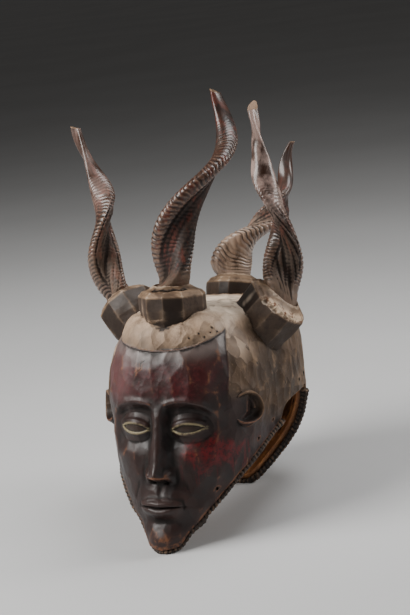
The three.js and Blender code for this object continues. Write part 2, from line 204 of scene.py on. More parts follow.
def noseRelief(side, height):
    down = np.clip((face["noseRoot"] - height) / (face["noseRoot"] - face["noseBase"]), 0, 1)
    reach = mix(5, face["noseReach"], down**1.1) * smooth(height - face["noseBase"], -3, 5)
    reach = reach * (1 - smooth(height, face["noseRoot"] - 8, face["noseRoot"] + 14))
    half = mix(15, 21, down**1.3)
    ridge = reach * (0.5 + 0.5 * np.cos(math.pi * np.clip(side / half, 0, 1))) ** 0.9
    return ridge + sum(lump(side, height, *spec) for spec in face["noseLumps"])


def mouthRelief(side, height):
    across = np.clip(side / face["mouthHalfWidth"], 0, 1)
    gape = (1 - across**2) ** 0.55
    above = height - (face["mouth"] + 1.2 * across**2 - 0.9 * bump(side, 7))
    upper = 6.6 * bump(above - 5.2 * gape, 4.9) * gape
    lower = 7.4 * bump(above + 6.3 * gape, 5.7) * gape
    border = 0.8 * bump(above - 11 * gape + 1.5 * bump(side, 4), 1.3) * smooth(gape, 0.2, 0.6)
    seam = 3.4 * bump(above, 1.0) * smooth(1.04 - across, 0, 0.2)
    corner = lump(side, above, 1.2, face["mouthHalfWidth"], 3, 0, 3)
    lumps = sum(lump(side, height, *spec) for spec in face["mouthLumps"])
    return upper + lower + border - seam - corner + lumps


def faceRelief(side, height):
    chin = lump(side, height, *face["chin"]) * smooth(height, 4, 22)
    fold = -0.9 * bump(side - 33 + (height - 85) * 0.35, 3) * bump(height - 80, 16)
    parts = noseRelief(side, height) + socketRelief(side, height) + eyeRelief(side, height)
    return parts + mouthRelief(side, height) + chin + lump(side, height, *face["cheek"]) + fold


def ledgeLine(degrees):
    # the lower edge of the cap of hair: a crescent over the brow
    around = np.abs(degrees) / hair["temple"]
    wander = 0.5 * np.sin(degrees * 0.31) + 0.3 * np.sin(degrees * 0.83 + 1)
    return mix(hair["ledgeMiddle"], hair["ledgeEnds"], around**2) + wander


def templeLine(height):
    return hair["temple"] + 0.35 * np.sin(height * 0.09) + (height - 230) * 0.012


def hairRelief(degrees, height):
    around = np.abs(degrees)
    above = height - ledgeLine(degrees)
    aside = around - templeLine(height)
    shallow = np.maximum(smooth(above, 4, 28), smooth(around, 22, 35))
    ledge = mix(hair["ledgeDepth"], hair["templeDepth"], shallow) * smooth(above, -0.7, 0.9)
    behind = smooth(aside, -0.5, 0.7) * smooth(height, 176, 200)
    lift = np.maximum(ledge, hair["templeDepth"] * np.maximum(behind, smooth(height, 290, 300)))
    groove = hair["groove"] * bump(aside + 0.8, 0.8) * within(height, 180, 200, 280, 288)
    full = hair["fullness"] * within(height, 262, 296, 302, 315) * (1 - smooth(around, 16, 42))
    return lift + full - lump(around, height, hair["shaved"], 48, 20, 287, 17) - groove


# Adze marks: shallow scoops, each with its own depth, that meet in low ridges

def scoops(points, spec):
    rng = np.random.default_rng(spec["seed"])
    order = rng.permutation(len(points))
    centres = order[:1]
    for i in order[1:spec["tries"]]:
        if (((points[centres] - points[i]) / spec["stretch"]) ** 2).sum(1).min() > spec["spacing"] ** 2:
            centres = np.append(centres, i)
    depth = rng.uniform(-spec["jitter"], spec["jitter"], len(centres))
    slope = rng.normal(0, spec["slope"], (len(centres), 3))
    result = np.empty(len(points))
    lot = 4000  # few enough at a time to fit in memory
    for start in range(0, len(points), lot):
        away = points[start:start + lot, None, :] - points[centres][None, :, :]
        square = ((away / spec["stretch"]) ** 2).sum(-1)
        result[start:start + lot] = (spec["hollow"] * square + depth + (away * slope).sum(-1)).min(1)
    return result - np.median(result)


# Meshes

def gridMesh(columns, rows):
    bm = bmesh.new()
    bmesh.ops.create_grid(bm, x_segments=columns, y_segments=rows, size=1)
    return bm


def coordinates(bm):
    return np.array([vert.co[:] for vert in bm.verts])


def place(bm, points):
    for vert, point in zip(bm.verts, points):
        vert.co = point


def outward(bm):
    bmesh.ops.recalc_face_normals(bm, faces=bm.faces)
    if bm.calc_volume(signed=True) < 0:
        bmesh.ops.reverse_faces(bm, faces=bm.faces)


def closeUp(bm, join=True):
    # joins what meets, cuts the faces into triangles and turns them outwards
    if join:
        bmesh.ops.remove_doubles(bm, verts=bm.verts, dist=touching)
    bmesh.ops.triangulate(bm, faces=bm.faces)
    outward(bm)


def shade(bm, limits):
    # smooth all over, apart from the edges sharper than their limit in degrees
    for polygon in bm.faces:
        polygon.smooth = True
    for edge, limit in zip(bm.edges, limits):
        edge.smooth = not (len(edge.link_faces) == 2 and edge.calc_face_angle(0) > math.radians(limit))


def objectFrom(bm, name):
    mesh = bpy.data.meshes.new(name)
    bm.to_mesh(mesh)
    bm.free()
    item = bpy.data.objects.new(name, mesh)
    bpy.context.scene.collection.objects.link(item)
    return item


def combine(item, tool, operation):
    cut = item.modifiers.new("cut", "BOOLEAN")
    cut.solver = "MANIFOLD"
    cut.operation = operation
    cut.object = tool
    graph = bpy.context.evaluated_depsgraph_get()
    mesh = bpy.data.meshes.new_from_object(item.evaluated_get(graph))
    item.modifiers.clear()
    old = item.data
    item.data = mesh
    bpy.data.meshes.remove(old)
    bpy.data.objects.remove(tool)


# Head shell

shell = {
    "columns": 264, "evenness": 0.55, "capRows": 62, "sideRows": 92, "innerRows": 24,
    "skullScoops": {"seed": 4, "tries": 9000, "stretch": (1, 1, 1.5), "spacing": 15, "hollow": 0.0088,
                    "jitter": 0.35, "slope": 0.026},
    "capScoops": {"seed": 6, "tries": 6000, "stretch": (1, 1, 2.4), "spacing": 19, "hollow": 0.004,
                  "jitter": 0.15, "slope": 0.05},
    "faceScoops": {"seed": 9, "tries": 7000, "stretch": (1, 1, 1.5), "spacing": 13, "hollow": 0.008,
                   "jitter": 0.2, "slope": 0.022},
    "innerScoops": {"seed": 2, "tries": 4000, "stretch": (1, 1, 2), "spacing": 13, "hollow": 0.007,
                    "jitter": 0.4, "slope": 0.02},
    "outerMarks": (-1.3, 1.1), "innerMarks": (-0.8, 1.0),
    # twice as fine round the eyes, the nose and the mouth: from and to in width, then in height
    "fineZones": [(10, 66, 138, 198), (-1, 26, 82, 184), (-1, 38, 36, 84)], "fineAround": 45,
}


def rowHeights(degrees, rows):
    # rows count from the crown; the outer wall ends at the rim
    closing = np.clip(rows / shell["capRows"], 0, 1)
    cap = mix(bowl["crown"], bowl["widest"], 1 - np.cos(closing**1.15 * math.pi / 2))
    down = np.clip((rows - shell["capRows"]) / shell["sideRows"], 0, 1)
    return np.where(rows <= shell["capRows"], cap, mix(bowl["widest"], rimHeight(degrees), down))


def shellGrid():
    # the flat grid holds degrees and rows until its points are placed
    outer = shell["capRows"] + shell["sideRows"]
    total = outer + shell["innerRows"] + 1
    bm = gridMesh(shell["columns"], total)
    across, along, _ = coordinates(bm).T
    degrees = 180 * (shell["evenness"] * across + (1 - shell["evenness"]) * across * np.abs(across))
    place(bm, np.stack([degrees, (1 - along) / 2 * total, 0 * along], 1))
    degrees, rows, _ = coordinates(bm).T
    height = rowHeights(degrees, rows)
    side = np.abs(bowlPoint(degrees, height)[:, 0])
    around = np.abs(degrees)
    zones = [(side > left) & (side < right) & (height > low) & (height < high)
             for left, right, low, high in shell["fineZones"]]
    ledge = (around < 40) & (np.abs(height - ledgeLine(degrees)) < 4.5)
    temple = (np.abs(around - templeLine(height)) < 2.2) & (height > 176) & (height < 292)
    fine = ((around < shell["fineAround"]) & np.any(zones, axis=0) | ledge | temple) & (rows <= outer)
    bm.verts.ensure_lookup_table()
    wanted = [edge for edge in bm.edges if all(fine[vert.index] for vert in edge.verts)]
    bmesh.ops.subdivide_edges(bm, edges=wanted, cuts=1, use_grid_fill=True)
    return bm, outer


def eyeZone(side, height):
    # near 0 on lids, nose and lips, so that no tool mark crosses them; large elsewhere
    eye = lump(side / 1.3, height, 1, face["eyeSpacing"] / 1.3, 22, face["eyeLine"] + 6, 22)
    nose = lump(side, height, 1, 0, 18, 112, 34)
    mouth = lump(side, height, 1, 0, 30, face["mouth"], 20)
    return 4 * (1 - np.clip(eye + nose + mouth, 0, 1))


def outerWall(degrees, rows):
    height = rowHeights(degrees, rows)
    points, normals = bowlPoint(degrees, height), bowlNormal(degrees, height)
    top = rows < touching
    points[top], normals[top] = crownPoint(), (0, 0, 1)
    around, side = np.abs(degrees), np.abs(points[:, 0])
    points[:, 1] -= (1 - smooth(around, 46, 62)) * faceRelief(side, height)
    hairy = np.maximum(smooth(height - ledgeLine(degrees), 0, 3), smooth(around - templeLine(height), 0, 1.5))
    hairy = hairy * smooth(height, 120, 170)
    skull, cap, skin = (scoops(points, shell[name]) for name in ("skullScoops", "capScoops", "faceScoops"))
    bare = 1 - np.exp(-np.abs(eyeZone(side, height)))
    marks = mix(skin * bare, mix(cap, skull, smooth(around, 36, 46)), hairy)
    marks = np.clip(marks, *shell["outerMarks"]) * smooth(rows, 1.5, 8)
    return points + normals * (hairRelief(degrees, height) + marks)[:, None]


def innerWall(degrees, share):
    rise = mix(rimHeight(degrees), bowl["crown"], np.sin(np.clip(share, 0, 1) * math.pi / 2))
    points, normals = bowlPoint(degrees, rise), bowlNormal(degrees, rise)
    last = share > 1 - touching
    points[last], normals[last] = crownPoint(), (0, 0, 1)
    gouges = scoops(points, shell["innerScoops"]) * within(share, 0.05, 0.2, 0.9, 0.98)
    return points - normals * (bowl["wall"] + np.clip(gouges, *shell["innerMarks"]))[:, None]


def makeShell():
    bm, outer = shellGrid()
    points = coordinates(bm)
    degrees, rows, _ = points.T.copy()
    outside = rows <= outer + touching
    points[outside] = outerWall(degrees[outside], rows[outside])
    share = (rows[~outside] - outer - 1) / shell["innerRows"]
    points[~outside] = innerWall(degrees[~outside], share)
    place(bm, points)
    bmesh.ops.remove_doubles(bm, verts=bm.verts, dist=touching)
    bmesh.ops.dissolve_degenerate(bm, dist=touching / 2, edges=bm.edges)
    closeUp(bm, join=False)
    return objectFrom(bm, "maskHead")


# Bosses: short faceted drums, cut by hand, that hold the horns. A ring is its depth and its size.

drum = {"rings": [(0, 1), (-22, 1.0), (-31, 0.95), (-40, 0.83), (-70, 0.72)], "turned": 0.11,
        "short": 0.015, "skewed": 0.015, "uneven": 1.2, "rimBevel": 4.6, "chamfer": 0.45,
        "longestEdge": 3.4, "collar": 8}
socket = {"radius": 22, "room": 0.35, "depth": 5, "sides": 48, "cutter": 20}
bosses = {
    "front": {"top": (0, 42.5, 325), "axis": (0, -0.11, 0.99), "radius": 43.6, "sides": 10, "spin": 8,
              "taper": 1, "tones": (0, 0.9)},
    "back": {"top": (0, 248, 340.6), "axis": (0.02, 0.12, 0.99), "radius": 40, "sides": 11, "spin": 0,
             "taper": 0.6, "tones": (0, 0.9)},
    # the left boss's facets take darker tones than the others': painted shade
    "left": {"top": (-111, 133, 313), "axis": (-0.62, 0.2, 0.76), "radius": 40, "sides": 9, "spin": 5,
             "taper": 0.5, "tones": (0, 0.4)},
    "right": {"top": (111, 133, 313), "axis": (0.696, -0.04, 0.717), "radius": 43, "sides": 10, "spin": 16,
              "taper": 0.25, "tones": (0, 0.9)},
}


def standingOn(spec):
    up = Vector(spec["axis"]).normalized()
    turn = Vector((0, 0, 1)).rotation_difference(up).to_matrix().to_4x4()
    return Matrix.Translation(Vector(spec["top"])) @ turn


def makeBoss(name, spec):
    rng = np.random.default_rng(len(name) * 7 + 3)
    turns = rng.normal(0, drum["turned"], spec["sides"])
    reaches = 1 - np.abs(rng.normal(0, drum["short"], spec["sides"]))
    last = len(drum["rings"]) - 1
    bm = bmesh.new()
    bmesh.ops.create_cone(bm, cap_ends=True, segments=spec["sides"], radius1=1, radius2=1, depth=2)
    walls = [edge for edge in bm.edges if abs(edge.verts[0].co.z - edge.verts[1].co.z) > 1]
    bmesh.ops.subdivide_edges(bm, edges=walls, cuts=last - 1)
    spec["corners"] = []
    for vert in bm.verts:  # no two facets are alike
        ring = round((1 - vert.co.z) / 2 * last)
        depth, size = drum["rings"][ring]
        angle = math.atan2(vert.co.y, vert.co.x)
        side = round(angle / (2 * math.pi) * spec["sides"]) % spec["sides"]
        angle += turns[side] + math.radians(spec["spin"]) + rng.normal(0, drum["skewed"])
        radius = spec["radius"] * mix(1, size, spec["taper"]) * reaches[side]
        depth += (ring > 0) * rng.normal(0, drum["uneven"])
        vert.co = (radius * math.cos(angle), radius * math.sin(angle), depth)
        if ring == 0:
            spec["corners"].append(math.atan2(math.sin(angle), math.cos(angle)))
    bmesh.ops.recalc_face_normals(bm, faces=bm.faces)
    rim = [edge for edge in bm.edges if all(abs(vert.co.z) < 0.01 for vert in edge.verts)]
    bevel = {"affect": "EDGES", "segments": 1, "profile": 0.5, "material": -1}
    bmesh.ops.bevel(bm, geom=rim, offset=drum["rimBevel"], **bevel)
    bmesh.ops.bevel(bm, geom=list(bm.edges), offset=drum["chamfer"], **bevel)
    bmesh.ops.triangulate(bm, faces=bm.faces)
    for _ in range(4):
        long = [edge for edge in bm.edges if edge.calc_length() > drum["longestEdge"]]
        bmesh.ops.subdivide_edges(bm, edges=long, cuts=1)
        bmesh.ops.triangulate(bm, faces=bm.faces)
    for vert in bm.verts:  # the top rises to a collar round the horn, and no side is quite flat
        x, y, z = vert.co
        if z > -1:
            vert.co.z += drum["collar"] * float(np.clip((40 - math.hypot(x, y)) / 17, 0, 1)) ** 1.8
            vert.co.z += 0.5 * math.sin(x * 0.23 + 1) * math.sin(y * 0.19)
        if z < -3:
            vert.co += vert.normal * 0.35 * math.sin(x * 0.17 + y * 0.13) * math.sin(z * 0.21)
    outward(bm)
    bmesh.ops.transform(bm, matrix=standingOn(spec), verts=bm.verts)
    return objectFrom(bm, name)


def makeSocket(spec):
    radius = socket["radius"] + socket["room"]
    middle = socket["cutter"] / 2 - socket["depth"] - socket["room"]
    bm = bmesh.new()
    bmesh.ops.create_cone(bm, cap_ends=True, segments=socket["sides"], radius1=radius, radius2=radius,
                          depth=socket["cutter"], matrix=Matrix.Translation((0, 0, middle)))
    bmesh.ops.transform(bm, matrix=standingOn(spec), verts=bm.verts)
    outward(bm)
    return objectFrom(bm, "socket")


# The cutter that clears the roots of bosses and ears out of the hollow of the head

cavity = {"columns": 120, "rows": 26, "deeper": 1.8, "below": -60}


def makeCavity():
    wall = bowl["wall"] + cavity["deeper"]
    bm = gridMesh(cavity["columns"], cavity["rows"])
    across, along, _ = coordinates(bm).T
    degrees, share = across * 180, (along + 1) / 2
    inside = np.clip((share - 0.04) / 0.96, 0, 1)
    rise = mix(rimHeight(degrees), bowl["crown"], np.sin(inside * math.pi / 2))
    points = bowlPoint(degrees, rise) - bowlNormal(degrees, rise) * wall
    points[share < 0.01] = (0, bowl["axisY"], cavity["below"])
    points[share > 1 - touching] = crownPoint() - np.array([0, 0, wall])
    place(bm, points)
    closeUp(bm)
    return objectFrom(bm, "cavity")


# Ears: a raised rim round a hollow, with a lobe below

ear = {"centre": (91, 58, 179), "halfHeight": 24, "halfWidth": 26, "out": (0.86, -0.5, 0),
       "back": (0.5, 0.86, 0), "rim": 8.5, "bowl": 1.5, "hollow": 3.2, "open": 5, "root": 9}


def makeEar(side):
    bm = bmesh.new()
    bmesh.ops.create_uvsphere(bm, u_segments=72, v_segments=56, radius=1)
    x, y, z = coordinates(bm).T
    across = np.minimum(np.hypot(x, y), 1)
    flatness = np.where(across > 0, np.arcsin(across) / (math.pi / 2) / np.maximum(across, 1e-6), 1)
    p, q = x * flatness, y * flatness
    radius = np.hypot(p, q)
    angle = np.degrees(np.arctan2(q, -p))  # 0 at the front, 90 at the top
    openFront = bump(angle + 6, 46)
    lobe = bump(angle + 95, 34)
    rim = bump(radius - mix(0.84, 0.74, lobe), 0.115) * (1 - openFront)
    fold = lump(radius, angle, 0.275, 0.5, 0.1, 170, 70) + lump(p, q, 0.33, -0.62, 0.16, -0.1, 0.22)
    reach = (ear["bowl"] + ear["rim"] * (rim + fold) * (1 - 0.15 * lobe)) * (1 - smooth(radius, 0.93, 1.0))
    reach = reach - ear["hollow"] * (1 - smooth(radius, 0.25, 0.66)) - ear["open"] * openFront * radius
    out = unit(np.array(ear["out"])) * (side, 1, 1)
    depth = np.where(z >= 0, reach, -ear["root"])
    depth = np.where(z < -0.02, -ear["root"] * np.sqrt(np.clip(1 - radius**4, 0, 1)) - 1.0, depth)
    slim = 1 - 0.22 * smooth(-q, 0.2, 1)
    points = np.array(ear["centre"]) * (side, 1, 1) + np.outer(depth, out)
    points += np.outer(p * slim * ear["halfWidth"], np.array(ear["back"]) * (side, 1, 1))
    points[:, 2] += q * ear["halfHeight"]
    place(bm, points)
    closeUp(bm, join=False)
    return objectFrom(bm, "ear")


# Lacing holes, worm holes, cracks and the chewed edge of one boss

# A bore is how far outside the wood a hole starts and how far inside it ends.

lacing = {"radius": 2.1, "bore": (8, 22), "sides": 12, "inset": 15, "napeInset": 18, "napeTurn": 2.8,
          "jaw": (30, 62, 82), "arch": (118, 128), "nape": (141, 149, 156.5, 171)}
wormHoles = {
    "radius": 0.75, "bore": (6, 3), "sides": 8,
    "at": [(24, 280), (27, 285), (21, 284), (31, 286), (16, 279), (28, 290), (58, 236), (104, 272),
           (-72, 244), (-60, 268), (142, 246), (152, 228), (-148, 252), (96, 206), (-104, 218), (20, 30),
           (-31, 62)],
}
cracks = {
    "brow": {"width": 0.5, "depth": 2.2,
             "points": [(-8, 249), (-10, 243), (-9, 236), (-12, 229), (-13, 222)]},
    "side": {"width": 0.45, "depth": 2, "points": [(80, 262), (82, 250), (81.5, 240), (84, 229), (83, 216)]},
    "nape": {"width": 0.6, "depth": 2.5,
             "points": [(168, 262), (170, 236), (167, 210), (169, 184), (168, 165)]},
    "collar": {"width": 1.0, "depth": 5, "boss": "front", "arc": (-116, -26), "radius": 31, "rise": 2.6},
    "far": {"width": 0.5, "depth": 2, "points": [(-118, 288), (-116, 270), (-119, 252), (-117, 236)]},
}
chewed = {"boss": "right", "seed": 21, "bites": 18, "arc": (-92, 22), "size": (4.2, 6.6), "reach": 0.97}


def holeAxes():
    # where each hole starts outside the wood, where it ends, its radius and its sides
    axes = []

    def drill(spec, degrees, height):
        middle, normal = bowlPoint(degrees, height), bowlNormal(degrees, height)
        start, end = middle + normal * spec["bore"][0], middle - normal * spec["bore"][1]
        axes.append((start, end, spec["radius"], spec["sides"]))

    for degrees in lacing["jaw"] + lacing["arch"] + lacing["nape"]:
        atNape = degrees in lacing["nape"]
        height = rimHeight(degrees) + lacing["napeInset" if atNape else "inset"]
        for side in (-1, 1):
            drill(lacing, side * (degrees + lacing["napeTurn"] * atNape), height)
    for spot in wormHoles["at"]:
        drill(wormHoles, *spot)
    return axes


def holeTools():
    whole = bmesh.new()
    for start, end, radius, sides in holeAxes():
        along = Vector(end) - Vector(start)
        turn = Vector((0, 0, 1)).rotation_difference(along).to_matrix().to_4x4()
        middle = Matrix.Translation((Vector(start) + Vector(end)) / 2)
        bmesh.ops.create_cone(whole, cap_ends=True, segments=sides, radius1=radius, radius2=radius,
                              depth=along.length, matrix=middle @ turn)
    return objectFrom(whole, "holes")


def crackRoute(spec, share):
    # points along a crack and the way out of the wood there
    if "boss" in spec:
        stand = np.array(standingOn(bosses[spec["boss"]]))
        angle = np.radians(mix(*spec["arc"], share))
        out = np.stack([np.cos(angle), np.sin(angle), 0 * angle], 1)
        level = np.outer(spec["rise"] + 0.45 * np.sin(angle * 11) + 0.2 * np.sin(angle * 41), (0, 0, 1))
        return (out * spec["radius"] + level) @ stand[:3, :3].T + stand[:3, 3], out @ stand[:3, :3].T
    steps = np.linspace(0, 1, len(spec["points"]))
    degrees, height = (np.interp(share, steps, values) for values in zip(*spec["points"]))
    return bowlPoint(degrees, height), bowlNormal(degrees, height)


def crackTool(spec):
    # a thin wedge along the crack, open at the surface
    bm = gridMesh(40, 1)
    along, across, _ = coordinates(bm).T
    share = (along + 1) / 2
    points, normal = crackRoute(spec, share)
    taper = np.sin(np.clip(share, 0.02, 0.98) * math.pi) ** 0.6
    deep = np.where(across > 0, 5, -spec["depth"] * taper - 0.4)
    place(bm, points + normal * deep[:, None])
    bmesh.ops.solidify(bm, geom=list(bm.faces), thickness=spec["width"])
    closeUp(bm, join=False)
    return objectFrom(bm, "crack")


def chewTools():
    # lumps that bite a ragged edge out of the lower side of a boss's rim
    rng = np.random.default_rng(chewed["seed"])
    spec = bosses[chewed["boss"]]
    bites = []
    for i in range(chewed["bites"]):
        angle = math.radians(mix(*chewed["arc"], i / (chewed["bites"] - 1)) + rng.normal(0, 2))
        size = rng.uniform(*chewed["size"])
        reach = spec["radius"] * chewed["reach"] + size * 0.3 + rng.normal(0, 0.5)
        bm = bmesh.new()
        bmesh.ops.create_icosphere(bm, subdivisions=2, radius=size)
        jag = rng.normal(0, 0.3, (len(bm.verts), 3))
        place(bm, coordinates(bm) * (1, 1, 0.9) + jag)
        spot = Vector((reach * math.cos(angle), reach * math.sin(angle), -1 + rng.normal(0, 1.2)))
        bmesh.ops.translate(bm, verts=bm.verts, vec=standingOn(spec) @ spot)
        bites.append(objectFrom(bm, "bite"))
    return bites


def soot(points):
    # 1 in the holes and down the cracks, where they are painted dark as shade
    spots = []
    for start, end, radius, _ in holeAxes():
        spots += [(mix(start, end, share), radius + 0.3) for share in np.linspace(0.15, 1, 24)]
    for spec in cracks.values():
        route, out = crackRoute(spec, np.linspace(0.01, 0.99, 90))
        for depth in np.arange(0.3, spec["depth"], 0.6):
            spots += [(spot, spec["width"] + 0.25) for spot in route - out * depth]
    tree = KDTree(len(spots))
    for number, (spot, _) in enumerate(spots):
        tree.insert(spot, number)
    tree.balance()
    found = [tree.find(point)[1:] for point in points]
    return np.array([float(away < spots[number][1]) for number, away in found])


def makeHead():
    head = makeShell()
    print("head shell", len(head.data.polygons))
    added = [makeBoss(name, spec) for name, spec in bosses.items()] + [makeEar(side) for side in (-1, 1)]
    cut = [makeCavity()] + [makeSocket(spec) for spec in bosses.values()] + [holeTools()]
    cut += [crackTool(spec) for spec in cracks.values()] + chewTools()
    for operation, tools in (("UNION", added), ("DIFFERENCE", cut)):
        for tool in tools:
            combine(head, tool, operation)
    print("head carved", len(head.data.polygons))
    return head


# Wear and dirt, from how far each point stands proud of its neighbours

wear = {"fine": 4, "broad": 26, "softening": 0.7, "bossReach": 62, "bossSharp": 12, "sharp": 38}


def perPoint(mesh, kind):
    values = np.empty(len(mesh.vertices) * 3)
    mesh.vertices.foreach_get(kind, values)
    return values.reshape(-1, 3)


def setPoints(mesh, points):
    mesh.vertices.foreach_set("co", np.ascontiguousarray(points, np.float32).ravel())
    mesh.update()


def setMasks(mesh, **masks):
    # what the materials read at each point
    for name, values in masks.items():
        layer = mesh.attributes.new(name, "FLOAT", "POINT")
        layer.data.foreach_set("value", np.ascontiguousarray(values, np.float32))


def proudness(mesh, rounds):
    points = perPoint(mesh, "co")
    edges = np.empty(len(mesh.edges) * 2, np.int32)
    mesh.edges.foreach_get("vertices", edges)
    a, b = edges.reshape(-1, 2).T
    count = np.maximum(np.bincount(edges, minlength=len(points)), 1)[:, None]
    soft = points.copy()
    for _ in range(rounds):
        total = np.zeros_like(soft)
        np.add.at(total, a, soft[b])
        np.add.at(total, b, soft[a])
        soft = mix(soft, total / count, wear["softening"])
    return ((points - soft) * perPoint(mesh, "normal")).sum(1)


def bossMasks(upright, normals, inside):
    boss, bossTop, torn, facet = (np.full(len(upright), value) for value in (0.0, 0.0, 0.0, 0.5))
    depths, sizes = np.array(drum["rings"]).T
    for name, spec in bosses.items():
        turn = np.array(standingOn(spec).to_3x3())
        local = (upright - np.array(spec["top"])) @ turn
        across, depth, angle = np.hypot(*local.T[:2]), local[:, 2], np.arctan2(local[:, 1], local[:, 0])
        reach = spec["radius"] * mix(1, np.interp(-depth, -depths, sizes), spec["taper"])
        near = smooth(across / reach, 0.87, 0.9) * (across < reach + 1.5) * (depth > -60) * (inside < 0.75)
        near = near * smooth((normals @ turn * unit(local * (1, 1, 0))).sum(1), 0.74, 0.86)
        top = (across < reach + 1) * smooth(depth, -7.2, -5.5)
        boss = np.maximum(boss, np.maximum(near, top))
        bossTop = np.maximum(bossTop, top)
        number = np.searchsorted(np.sort(spec["corners"]), angle) % spec["sides"]
        rng = np.random.default_rng(spec["sides"] + int(spec["spin"]))
        facet = np.where(near > 0.5, rng.uniform(*spec["tones"], spec["sides"])[number], facet)
        if name == chewed["boss"]:
            torn = within(np.degrees(angle), -104, -84, 14, 30) * smooth(across, 27, 37) * (across < 48)
            torn = torn * smooth(depth, -6.5, -2.5) * (depth < 10)
    return {"boss": boss, "bossTop": bossTop, "facet": facet, "torn": torn}


def headMasks(mesh, upright):
    x, y, z = upright.T
    side, fore = np.abs(x), bowl["axisY"] - y
    degrees = np.degrees(np.arctan2(x, fore))
    around = np.abs(degrees)
    height = z - crownLift(y, z)
    edge = bowlPoint(degrees, np.minimum(height, 315.0))
    outer, here = np.hypot(edge[:, 0], edge[:, 1] - bowl["axisY"]), np.hypot(x, fore)
    normals = perPoint(mesh, "normal")
    outwards = unit(np.stack([x, -fore, np.maximum(z - bowl["widest"], 0)], 1))
    inside = smooth(outer - here, 6, 9) * (1 - smooth(height, 296, 300))
    inside = inside * (1 - smooth((normals * outwards).sum(1), 0.02, 0.25) * (here > outer - 22))
    inside = np.where((height > 290) & (here < outer - 6) & (normals[:, 2] < -0.1), 1, inside)
    hairy = np.maximum.reduce([
        smooth(height - ledgeLine(degrees), -0.6, 0.6) * (around < 90),
        smooth(around - templeLine(height), -0.3, 0.5) * smooth(height, 186, 204),
        smooth(around, 48, 60) * smooth(height, 150, 185), smooth(around, 88, 100)])
    upper, lower = lidLines(side)
    near = 1 - smooth(np.abs(side - face["eyeSpacing"]), face["eyeHalfWidth"] + 1, face["eyeHalfWidth"] + 5)
    near = near * (around < 46) * (inside < 0.5)
    lidGap = np.minimum(np.abs(height - upper - 0.6), np.abs(height - lower + 0.6))
    ball = smooth(upper - height, 0.2, 1.4) * smooth(height - lower, 0.2, 1.4)
    return {"inside": inside, "hair": hairy * (1 - inside), "eyeRims": near * (1 - smooth(lidGap, 0.8, 2.4)),
            "eyeBall": near * ball, **bossMasks(upright, normals, inside)}


def dressHead(head):
    bm = bmesh.new()
    bm.from_mesh(head.data)
    bmesh.ops.triangulate(bm, faces=bm.faces, ngon_method="EAR_CLIP")
    tops = [Vector(spec["top"]) for spec in bosses.values()]
    onBoss = [any((edge.verts[0].co - top).length < wear["bossReach"] for top in tops) for edge in bm.edges]
    shade(bm, [wear["bossSharp"] if crisp else wear["sharp"] for crisp in onBoss])
    mesh = head.data
    bm.to_mesh(mesh)
    bm.free()
    upright = perPoint(mesh, "co")
    fine, broad = proudness(mesh, wear["fine"]), proudness(mesh, wear["broad"])
    side, forth, height = np.abs(upright[:, 0]), upright[:, 1], upright[:, 2]
    sheltered = lump(side, height, 1, face["eyeSpacing"], 24, face["eyeLine"] + 8, 22)
    sheltered = (sheltered + lump(side, height, 1, 0, 30, face["mouth"], 13)) * (forth < 40)
    setMasks(mesh, edge=np.clip(fine * 1.6, 0, 1) * (1 - 0.8 * np.clip(sheltered * 1.6, 0, 1)),
             proud=np.clip(broad * 0.4, -1, 1) * 0.5 + 0.5,
             hollow=np.clip(-fine * 1.8, 0, 1) + np.clip(-broad * 0.4, 0, 1),
             soot=soot(upright), **headMasks(mesh, upright))
    setPoints(mesh, toStanding(upright))
    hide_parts("head")
    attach(head, "root")


# Horns: a section with two keels, full on one side and dished on the other, that winds up a helix

horns = {
    "front": {"lean": (0.157, 0.206), "length": 267, "coil": (15.5, 23.9), "start": 1.95, "turns": 1.076,
              "half": (31.1, 8.6), "swell": 0.098, "keel": 3.19, "keelTurns": -0.166, "shift": (7.8, 1.9),
              "dished": -1, "smoothFrom": 0.84, "flutes": 0.3, "face": (-57, 0), "faceWidth": 50,
              "faceEnd": 0.62, "rubbed": 0.0, "dusty": 0.0, "cut": (0.9, 0.2, 1.1)},
    "left": {"lean": (-0.297, 0.065), "length": 253, "coil": (13.4, 5.3), "start": 2.0, "turns": 1.254,
             "half": (30.9, 6.2), "swell": -0.123, "keel": -0.11, "keelTurns": 0, "shift": (-1.7, -1.1),
             "dished": 1, "smoothFrom": 0.7, "flutes": 0.5, "face": (150, -250), "faceWidth": 42,
             "faceEnd": 0.5, "rubbed": 0.35, "dusty": 0.25, "cut": (0.8, -0.1, 0.75)},
    "right": {"lean": (-0.195, 0), "length": 255, "coil": (11, 0.5), "start": -2.83, "turns": -1.362,
              "half": (28.1, 7.6), "swell": 0.087, "keel": 1.4, "keelTurns": 0.228, "shift": (1, 0),
              "dished": 1, "smoothFrom": 0.62, "flutes": 1.0, "face": (62, 290), "faceWidth": 42,
              # on this horn the rubbed pale is partly a painted highlight
              "faceEnd": 0.44, "rubbed": 1.0, "dusty": 0.2, "cut": (0.43, -0.9, 2.0)},
    "back": {"lean": (0.312, 0.485), "length": 226, "coil": (18.6, 10), "start": 2.42, "turns": 1.185,
             "half": (31.7, 5.2), "swell": 0, "keel": 0.25, "keelTurns": 0.207, "shift": (-6.1, -4.1),
             "dished": -1, "smoothFrom": 0.68, "flutes": 0.4, "face": (-90, 0), "faceWidth": 48,
             "faceEnd": 0.6, "rubbed": 0.1, "dusty": 1.0, "cut": (-0.9, -0.4, 0.7)},
}
hornSkin = {"around": 84, "along": 400, "flatness": 0.58, "ridge": (5.6, 4.4), "ridgeSpan": 1.3,
            "slim": 0.98, "tipCut": 6, "keelHeight": 1.6, "fullHeight": 1.15, "dishHeight": 0.5,
            "footEnd": 0.03, "footRise": 150, "joined": (0.04, 0.1), "bodyFrom": 0.07, "thin": 24,
            "sharp": 40}


